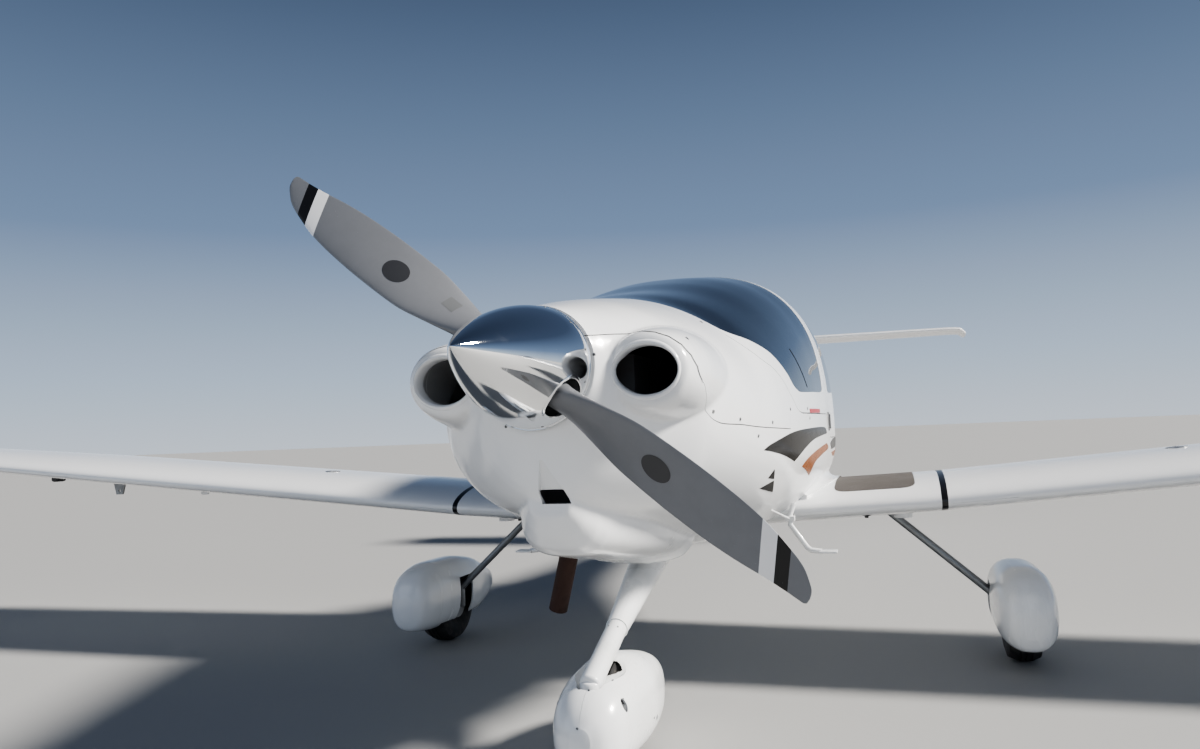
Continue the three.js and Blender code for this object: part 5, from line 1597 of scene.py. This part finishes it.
def blade(direction):
    """One blade, from its round root to its tip."""
    out = BLADE_AXIS * direction
    chordwise = SHAFT.cross(out)
    flow = Flow(BLADE_ROWS)
    rings = []
    first, last = BLADE_ROWS[0][0], BLADE_ROWS[-1][0]
    for u in steps(0, 1, 70):
        r = first + (last - first) * (1 - (1 - u) ** 1.5)
        chord, shift, pitch, thick = flow.at(r)
        pitch = math.radians(pitch)
        lead = chordwise * math.cos(pitch) + SHAFT * math.sin(pitch)
        face = SHAFT * math.cos(pitch) - chordwise * math.sin(pitch)
        flat = min(max((r - 0.15) / 0.2, 0), 1)
        ring = []
        for c, n in turn(48):
            across = shift + c * chord / 2
            body = n * chord * thick / 2
            sharp = body * (0.55 + 0.45 * c) ** 0.6 if c > -1 else 0
            ring.append(HUB + out * r + lead * across + face * (body * (1 - flat) + sharp * flat))
        rings.append(ring)
    return skin(rings)


class AIRCRAFT_OT_nose_gear(bpy.types.Operator):
    """Build the nose leg, wheel, tyre and fairing"""
    bl_idname = "aircraft.nose_gear"
    bl_label = "Nose gear"

    def execute(self, context):
        def caster(z):
            return at(0, CASTER_S, z)

        def form(inset=0.0):
            return fairing(NOSE_FAIRING_ROWS, 0, inset, NOSE_FAIRING_BULGES)

        leg = rod(leg_point(CASTER_S - LEG_NOSE), leg_point(1.79), 0.036, round_edges=0.012)
        add(leg, rod(leg_point(1.196), leg_point(1.7), 0.039, 0.074),
            rod(leg_point(1.192), leg_point(1.199), 0.0402, round_edges=0.0012),
            rod(caster(0.264), caster(0.325), 0.033, round_edges=0.010))
        cut(leg, rod(caster(0.25), caster(0.300), 0.015))
        spots = [leg_point(1.170) + Vector((x, -0.03, 0.04)) for x in (-0.02, 0.03)]
        fasteners("leg_screws", surface(leg), spots, radius=0.0035)
        done(leg, "nose_leg_tube", "white_enamel", node="nose_leg")

        well = fairing(NOSE_FAIRING_ROWS[1:7], 0, FAIRING_WALL, NOSE_FAIRING_BULGES)
        add(well, block(at(-0.084, 0.9, -0.1), at(0.084, 1.3, 0.12)))
        recess = within(leg_sweep(0.052), form())
        cut(recess, rod(at(-0.07, *NOSE_AXLE), at(0.07, *NOSE_AXLE), 0.1735, sides=96))
        pod = add(cut(form(), well), recess)
        cut(pod, leg_sweep(0.0415), rod(caster(0.262), caster(0.4), 0.0385))
        groove = block(at(-FAIRING_SPLIT, 0.7, 0), at(FAIRING_SPLIT, CASTER_S, 0.45))
        cut(pod, cut(groove, form(0.0025)))
        # Painted shade: a thin black lining just inside the wall, kept only behind the slots, so the slots
        # show dark.
        painted_shade_lining = cut(form(FAIRING_WALL - 0.0005), form(FAIRING_WALL + 0.003))
        tree = surface(pod)
        slots = [punch(seated(tree, at(side * x, s, z)), wide, tall)
                 for x, s, z, wide, tall in FAIRING_SLOTS for side in (1, -1)]
        within(painted_shade_lining, joined([copied(slot) for slot in slots]))
        cut(pod, *slots)
        done(painted_shade_lining, "nose_fairing_shades", "black_film", "nose_caster")
        spots = [at(*point) for point in FAIRING_SCREWS]
        fasteners("fairing_screws", surface(pod), spots, "nose_caster", 0.0045)
        done(pod, "nose_fairing_shell", "white_paint", "nose_caster", "nose_fairing")
        wheel("nose", at(0, *NOSE_AXLE), NOSE_TYRE, "nose_wheel", "nose_tyre")
        return {"FINISHED"}


def punch(place, wide, tall):
    """An oval through a surface."""
    return skin([[place @ Vector((wide * c, tall * n, depth)) for c, n in turn(32)]
                 for depth in (-0.016, 0.016)])


def leg_sweep(radius):
    """The space round the leg as the fairing swivels on it."""
    root = leg_point(CASTER_S)
    near, far = (leg_point(s) - root for s in (CASTER_S - LEG_NOSE - 0.006, 1.42))
    swings = [Matrix.Rotation(math.radians(degrees), 3, "Z") for degrees in range(-30, 31, 5)]
    bars = [rod(root + swing @ near, root + swing @ far, radius) for swing in swings]
    return add(*bars)


def wheel(name, centre, size, body, tyre_node):
    """A tyre with tread grooves on a dished rim, whose solid has the name of its body."""
    radius, rim, bore = size["radius"], size["rim"], size["bore"]
    w = size["width"] / 2
    crown = radius - w * 0.12
    groove = 0.007
    tread = [(crown, w * 0.62), (radius - 0.0015, w * 0.45)]
    for place in (0.30, 0.0, -0.30):
        tread += [(radius, w * place + 0.0042), (radius - groove, w * place + 0.0030),
                  (radius - groove, w * place - 0.0030), (radius, w * place - 0.0042)]
    tread += [(radius - 0.0015, -w * 0.45), (crown, -w * 0.62)]
    wall = [(rim, w * 0.62), (rim + 0.010, w * 0.70), (rim + (radius - rim) * 0.35, w * 0.97),
            (rim + (radius - rim) * 0.55, w), (radius * 0.92, w * 0.88)]
    profile = [*wall, *tread, *[(r, -x) for r, x in wall[::-1]]]
    tyre = turned(profile, centre, ACROSS, 128)
    done(tyre, f"{name}_tyre_ring", "tyre_rubber", body, tyre_node, angle=50)
    r = rim - FIT
    half = [(bore, w * 0.6), (r * 0.40, w * 0.6), (r * 0.46, w * 0.56), (r * 0.58, w * 0.32),
            (r * 0.82, w * 0.36), (r * 0.86, w * 0.42), (r * 0.9, w * 0.58), (r, w * 0.6)]
    rim_ring = turned([*half, *[(a, -b) for a, b in half[::-1]]], centre, ACROSS, 96)
    bolts = []
    for side in (1, -1):
        for c, n in turn(6):
            spot = centre + Vector((side * w * 0.30, c * r * 0.70, n * r * 0.70))
            bolts.append(rod(spot, spot + ACROSS * (side * 0.012), 0.007, sides=6))
    add(rim_ring, *bolts)
    done(rim_ring, f"{name}_rim", "alloy", body, body)


class AIRCRAFT_OT_main_gear(bpy.types.Operator):
    """Build the main struts, wheels, tyres, fairings and foot steps"""
    bl_idname = "aircraft.main_gear"
    bl_label = "Main gear"

    def execute(self, context):
        s, z = MAIN_AXLE
        strut = rod(at(0.84, 2.66, 0.748), at(1.368, s, 0.283), 0.018)
        add(strut, rod(at(1.368, s, 0.296), at(1.368, s, 0.182), 0.02, round_edges=0.004))
        well = fairing(MAIN_FAIRING_ROWS[1:7], MAIN_FAIRING_X, FAIRING_WALL)
        add(well, block(at(MAIN_X - 0.092, 2.46, -0.1), at(MAIN_X + 0.086, 2.94, 0.2)),
            block(at(MAIN_X - 0.16, 2.62, 0.09), at(MAIN_X - 0.06, 2.78, 0.352)))
        pod = cut(fairing(MAIN_FAIRING_ROWS, MAIN_FAIRING_X), well)
        step = bent_tube([at(*point) for point in STEP_LINE], 0.011, smooth=False)
        add(step, block(at(0.505, 1.998, 0.706), at(0.545, 2.030, 0.728), round_edges=0.003),
            rod(at(0.466, 1.600, 0.808), at(0.522, 2.012, 0.716), 0.0042, sides=24),
            block(at(0.64, 1.962, 0.578), at(0.712, 2.028, 0.587), round_edges=0.002))
        cut(step, hull(1.8, 2.3, -FIT))
        paired(strut, "strut_rod_{}", "bare_steel", node="main_strut_{}")
        paired(pod, "main_fairing_shell_{}", "white_paint", node="main_fairing_{}")
        paired(step, "foot_step_tube_{}", "white_enamel", node="foot_step_{}")
        for side, sign in SIDES:
            wheel(f"main_{side}", at(sign * MAIN_X, s, z), MAIN_TYRE, f"main_wheel_{side}",
                  f"main_tyre_{side}")
        return {"FINISHED"}


class AIRCRAFT_OT_markings(bpy.types.Operator):
    """Lay the side flashes, the walkway mats and the panel fasteners on the finished skins"""
    bl_idname = "aircraft.markings"
    bl_label = "Markings"

    def execute(self, context):
        body, upper, lower, frame_skin = (bpy.data.objects[name] for name in (
            "fuselage_skin", "upper_cowl_skin", "lower_cowl_skin", "canopy_frame_skin"))
        for name, hosts, outline, finish in (
                ("dark_flash", (body, lower), edged(DARK_FLASH), "dark_film"),
                ("warm_flash", (body,), edged(WARM_FLASH), "warm_film"),
                ("dark_tail_flash", (body,), edged(DARK_TAIL), "dark_film"),
                ("warm_tail_flash", (body,), edged(WARM_TAIL), "warm_film"),
                ("front_flash_chip", (lower,), rounded(FLASH_CHIPS[0], 0.003), "dark_film"),
                ("rear_flash_chip", (lower,), rounded(FLASH_CHIPS[1], 0.003), "dark_film")):
            film(hosts, outline, name, finish, low_x=0.05)
        film((frame_skin,), rounded(CANOPY_TAG, 0.004), "canopy_tag", "red_film", "canopy")
        film((bpy.data.objects["canopy_pane"],), VENT_EDGE, "vent_window_edge", "black_film", "canopy")
        plan = skin([[at(x, s, z) for s, x in rounded(WALKWAY, 0.06)] for z in (0.79, 0.97)])
        paired(coat(body, plan, 0.0018), "walkway_{}", "mat")
        tree = surface(body, upper, lower)
        fasteners("flank_fasteners", tree, flanked(COWL_FASTENERS))
        fasteners("nose_screws", tree, [at(x, s - 0.004, z) for x, s, z in NOSE_SCREWS], radius=0.005)
        fasteners("canopy_latches", surface(frame_skin), flanked(((0.628, 1.881, 1.173),)), "canopy")
        place = seated(surface(body), at(0.68, 2.61, 1.12))
        handle = block((-0.022, -0.045, -0.002), (0.022, 0.045, 0.004), place, round_edges=0.0018)
        add(handle, block((-0.008, -0.036, 0.002), (0.008, 0.036, 0.011), place, round_edges=0.003))
        done(handle, "door_handle", "bare_steel")
        return {"FINISHED"}


class AIRCRAFT_OT_small_fittings(bpy.types.Operator):
    """Build the aerials, the drains and the brackets under the wing stubs"""
    bl_idname = "aircraft.small_fittings"
    bl_label = "Small fittings"

    def execute(self, context):
        rings = []
        for rise, chord, back in AERIAL_ROWS:
            rings.append([at(h * chord * 0.9, 4.55 + back + part * chord, 1.432 + rise)
                          for part, h in aerofoil(0.16, 0, 12)])
        done(skin(rings), "blade_aerial", "white_enamel")
        whip = bent_tube([at(0, 4.0, 0.75), at(0, 4.06, 0.62), at(0, 4.22, 0.52)], 0.0028, sides=10)
        add(whip, rod(at(0, 3.985, 0.765), at(0, 4.012, 0.70), 0.014, 0.007))
        done(whip, "whip_aerial", "dark_trim")
        drains = []
        for x in (DRAIN_X, -DRAIN_X):
            drain = rod(at(x, 2.285, 0.742), at(x, 2.290, 0.690), 0.009)
            add(drain, block(at(x - 0.018, 2.262, 0.700), at(x + 0.018, 2.330, 0.712), round_edges=0.003))
            drains.append(drain)
        done(joined(drains), "wing_stub_drains", "dark_trim")
        probe = block(at(-3.985, 2.385, 0.940), at(-3.930, 2.455, 0.982), round_edges=0.014)
        done(probe, "wing_probe", "dark_trim")
        return {"FINISHED"}


class AIRCRAFT_OT_panel(bpy.types.Operator):
    """Build the instrument panel with its screens, dials and switches"""
    bl_idname = "aircraft.panel"
    bl_label = "Instrument panel"

    def execute(self, context):
        form = within(prism(PANEL_OUTLINE, -0.7, 0.7), hull(1.2, 1.85, 0.038))
        changed(form, "REMESH", mode="VOXEL", voxel_size=0.008)
        changed(form, "SMOOTH", factor=0.5, iterations=3)
        done(form, "panel_hood", "dark_trim", node="instrument_panel", angle=50)
        rise = Vector((0, 0.030, 0.432)).normalized()
        outwards = -ACROSS.cross(rise)
        turn_to = Matrix((-ACROSS, rise, outwards)).transposed().to_4x4()
        face = Matrix.Translation(at(0, 1.760, 1.226)) @ turn_to
        bezels, screens, pale = [], [], []
        for a in (-0.20, 0.20):
            bezel = block((a - 0.135, -0.06, -0.006), (a + 0.135, 0.145, 0.016), face, round_edges=0.006)
            cut(bezel, block((a - 0.112, -0.032, 0.010), (a + 0.112, 0.125, 0.03), face))
            bezels.append(bezel)
            screens.append(block((a - 0.111, -0.031, 0.006), (a + 0.111, 0.124, 0.0112), face))
            for k in steps(-0.10, 0.10, 7):
                spot = face @ Vector((a + k, -0.047, 0.014))
                bezels.append(rod(spot, spot + outwards * 0.008, 0.006, sides=20, round_edges=0.001))
        for b in (0.115, 0.045, -0.025):
            centre = face @ Vector((0, b, 0))
            bezels.append(turned(DIAL_RIM, centre, outwards, 48))
            screens.append(rod(centre - outwards * 0.004, centre + outwards * 0.006, 0.0238))
            pale.append(block((-0.0012, b - 0.003, 0.0062), (0.0012, b + 0.018, 0.0078), face))
            for c, n in turn(12):
                pale.append(block((c * 0.020 - 0.0012, b + n * 0.020 - 0.0012, 0.0062),
                                  (c * 0.020 + 0.0012, b + n * 0.020 + 0.0012, 0.0074), face))
        for a in steps(-0.30, 0.30, 14):
            pale.append(block((a - 0.005, -0.105, -0.004), (a + 0.005, -0.082, 0.008), face,
                              round_edges=0.0012))
        for a, b, radius in PANEL_KNOBS:
            spot = face @ Vector((a, b, -0.004))
            bezels.append(rod(spot, spot + outwards * 0.028, radius, radius * 0.8, 32, round_edges=0.003))
        done(joined(bezels), "panel_bezels", "black_film")
        done(joined(screens), "panel_screens", "screen")
        done(joined(pale), "panel_marks", "pale_film")
        return {"FINISHED"}


class AIRCRAFT_OT_console(bpy.types.Operator):
    """Build the centre console, its levers and the two sticks"""
    bl_idname = "aircraft.console"
    bl_label = "Console"

    def execute(self, context):
        form = prism(rounded(CONSOLE_OUTLINE, 0.02), -0.062, 0.062)
        changed(form, "BEVEL", width=0.009, segments=3)
        cut(form, block(at(-0.012, 2.085, 0.80), at(0.012, 2.175, 0.9)),
            rod(at(0, 2.32, 0.80), at(0, 2.32, 0.9), 0.036))
        add(form, rod(at(-STICK_X, 2.030, 0.716), at(STICK_X, 2.030, 0.716), 0.014))
        for x in LEVER_X:
            add(form, rod(at(x, 1.905, 0.84), at(x, 1.880, 0.925), 0.0045, sides=16))
        done(form, "console_body", "dark_trim", node="centre_console")
        knobs = [rod(at(x, 1.883, 0.915), at(x, 1.874, 0.946), 0.011, sides=32, round_edges=0.004)
                 for x in LEVER_X]
        knobs.append(rod(at(-0.010, 2.13, 0.838), at(0.010, 2.13, 0.838), 0.040, sides=64, round_edges=0.003))
        done(joined(knobs), "console_knobs", "black_film")
        sticks = []
        for x in (STICK_X, -STICK_X):
            stick = [at(x, 2.030, 0.712), at(x, 2.030, 0.880), at(x, 2.034, 0.985), at(x, 2.060, 1.060)]
            grip = [at(x, 2.046, 1.000), at(x, 2.064, 1.055), at(x, 2.078, 1.105), at(x, 2.088, 1.132)]
            sticks.append(add(bent_tube(stick, 0.011, sides=24), bent_tube(grip, 0.0165, sides=32)))
        done(joined(sticks), "control_sticks", "dark_trim")
        return {"FINISHED"}


class AIRCRAFT_OT_seats(bpy.types.Operator):
    """Build the front seats and the rear bench with their filled cushions"""
    bl_idname = "aircraft.seats"
    bl_label = "Seats"

    def execute(self, context):
        low, high = SEAT_X
        near, far = BENCH_X
        # Name, outline, x range, margin, then the axis, places and depth of the sewn channels.
        rows = (
            ("seat_cushion", SEAT_CUSHION, SEAT_X, 0.012, 0, (low + 0.1, high - 0.1), 0.010),
            ("seat_back", SEAT_BACK, SEAT_X, 0.018, 2, (1.00, 1.14, 1.27), 0.009),
            ("seat_headrest", SEAT_HEADREST, SEAT_X, 0.095, 0, (), 0.0),
            ("bench_cushion", BENCH_CUSHION, BENCH_X, 0.012, 0, (near + 0.11, far - 0.11), 0.010),
            ("bench_back", BENCH_BACK, BENCH_X, 0.012, 2, (1.09, 1.21, 1.32), 0.009),
            ("bench_headrest", BENCH_HEADREST, BENCH_X, 0.11, 0, (), 0.0),
        )
        pads = [pad(outline, left + margin, right - margin) for _, outline, (left, right), margin, *_ in rows]
        filled(pads, PAD_REACH)
        for piece, (name, _, _, _, axis, places, depth) in zip(pads, rows):
            channelled(piece, axis, places, depth)
            node = "rear_bench" if name.startswith("bench") else "seat_{}"
            for solid in paired(piece, name + "_{}", "seat_cover", node=node, angle=70):
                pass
        seat = changed(prism(rounded(SEAT_SHELL, 0.008), low, high), "BEVEL", width=0.008, segments=3)
        for x in ((low + high) / 2 - 0.05, (low + high) / 2 + 0.05):
            add(seat, rod(at(x, 2.722, 1.38), at(x, 2.722, 1.45), 0.006, sides=20))
        within(seat, hull(2.0, 2.9, SKIN + 0.006))
        paired(seat, "seat_shell_{}", "dark_trim", node="seat_{}")
        bench = changed(prism(rounded(BENCH_SHELL, 0.008), -0.47, 0.47), "BEVEL", width=0.008, segments=3)
        within(bench, hull(2.95, 3.75, SKIN + 0.006))
        done(bench, "bench_shell", "dark_trim", node="rear_bench")
        return {"FINISHED"}


def pad(outline, low_x, high_x):
    """A cushion's form before it is filled."""
    form = changed(prism(outline, low_x, high_x), "BEVEL", width=0.014, segments=3)
    return changed(form, "REMESH", mode="VOXEL", voxel_size=0.0085)


def filled(pads, reach):
    """Swells cushions under pressure, with no point moved further than a reach."""
    starts = [[vertex.co.copy() for vertex in piece.data.vertices] for piece in pads]
    for piece in pads:
        pick(piece)
        bpy.ops.object.modifier_add(type="CLOTH")
        cloth = piece.modifiers[-1]
        cloth.settings.use_pressure = True
        cloth.settings.uniform_pressure_force = 4.0
        cloth.settings.effector_weights.gravity = 0
        cloth.point_cache.frame_start = 1
        cloth.point_cache.frame_end = looks().pad_frames
    for number in range(1, looks().pad_frames + 1):
        bpy.context.scene.frame_set(number)
    for piece, start in zip(pads, starts):
        pick(piece)
        bpy.ops.object.modifier_apply(modifier=piece.modifiers[-1].name)
        for vertex, origin in zip(piece.data.vertices, start):
            shift = vertex.co - origin
            if shift.length > reach:
                vertex.co = origin + shift.normalized() * reach
    bpy.context.scene.frame_set(1)


def channelled(piece, axis, places, depth):
    """Sewn channels across a cushion, square to an axis."""
    normals = [vertex.normal.copy() for vertex in piece.data.vertices]
    for vertex, normal in zip(piece.data.vertices, normals):
        for place in places:
            vertex.co -= normal * depth * math.exp(-((vertex.co[axis] - place) / 0.008) ** 2)


class AIRCRAFT_PT_sidebar(bpy.types.Panel):
    """Buttons and colours for the aircraft"""
    bl_idname = "AIRCRAFT_PT_sidebar"
    bl_label = "Light aircraft"
    bl_space_type = "VIEW_3D"
    bl_region_type = "UI"
    bl_category = "Aircraft"

    def draw(self, context):
        colours = looks()
        for name in colours.__annotations__:
            self.layout.prop(colours, name)
        for operator in OPERATORS:
            self.layout.operator(operator.bl_idname)


OPERATORS = (
    AIRCRAFT_OT_finishes,
    AIRCRAFT_OT_stage,
    AIRCRAFT_OT_fuselage,
    AIRCRAFT_OT_cowls,
    AIRCRAFT_OT_canopy,
    AIRCRAFT_OT_rear_door,
    AIRCRAFT_OT_wings,
    AIRCRAFT_OT_tail,
    AIRCRAFT_OT_propeller,
    AIRCRAFT_OT_nose_gear,
    AIRCRAFT_OT_main_gear,
    AIRCRAFT_OT_markings,
    AIRCRAFT_OT_small_fittings,
    AIRCRAFT_OT_panel,
    AIRCRAFT_OT_console,
    AIRCRAFT_OT_seats,
)
CLASSES = (AircraftLooks, *OPERATORS, AIRCRAFT_PT_sidebar)


def register():
    for kind in CLASSES:
        bpy.utils.register_class(kind)
    bpy.types.Scene.aircraft_looks = PointerProperty(type=AircraftLooks)


def unregister():
    del bpy.types.Scene.aircraft_looks
    for kind in reversed(CLASSES):
        bpy.utils.unregister_class(kind)


def main():
    register()
    for operator in OPERATORS:
        getattr(bpy.ops.aircraft, operator.bl_idname.split(".")[1])()


if __name__ == "__main__":
    main()
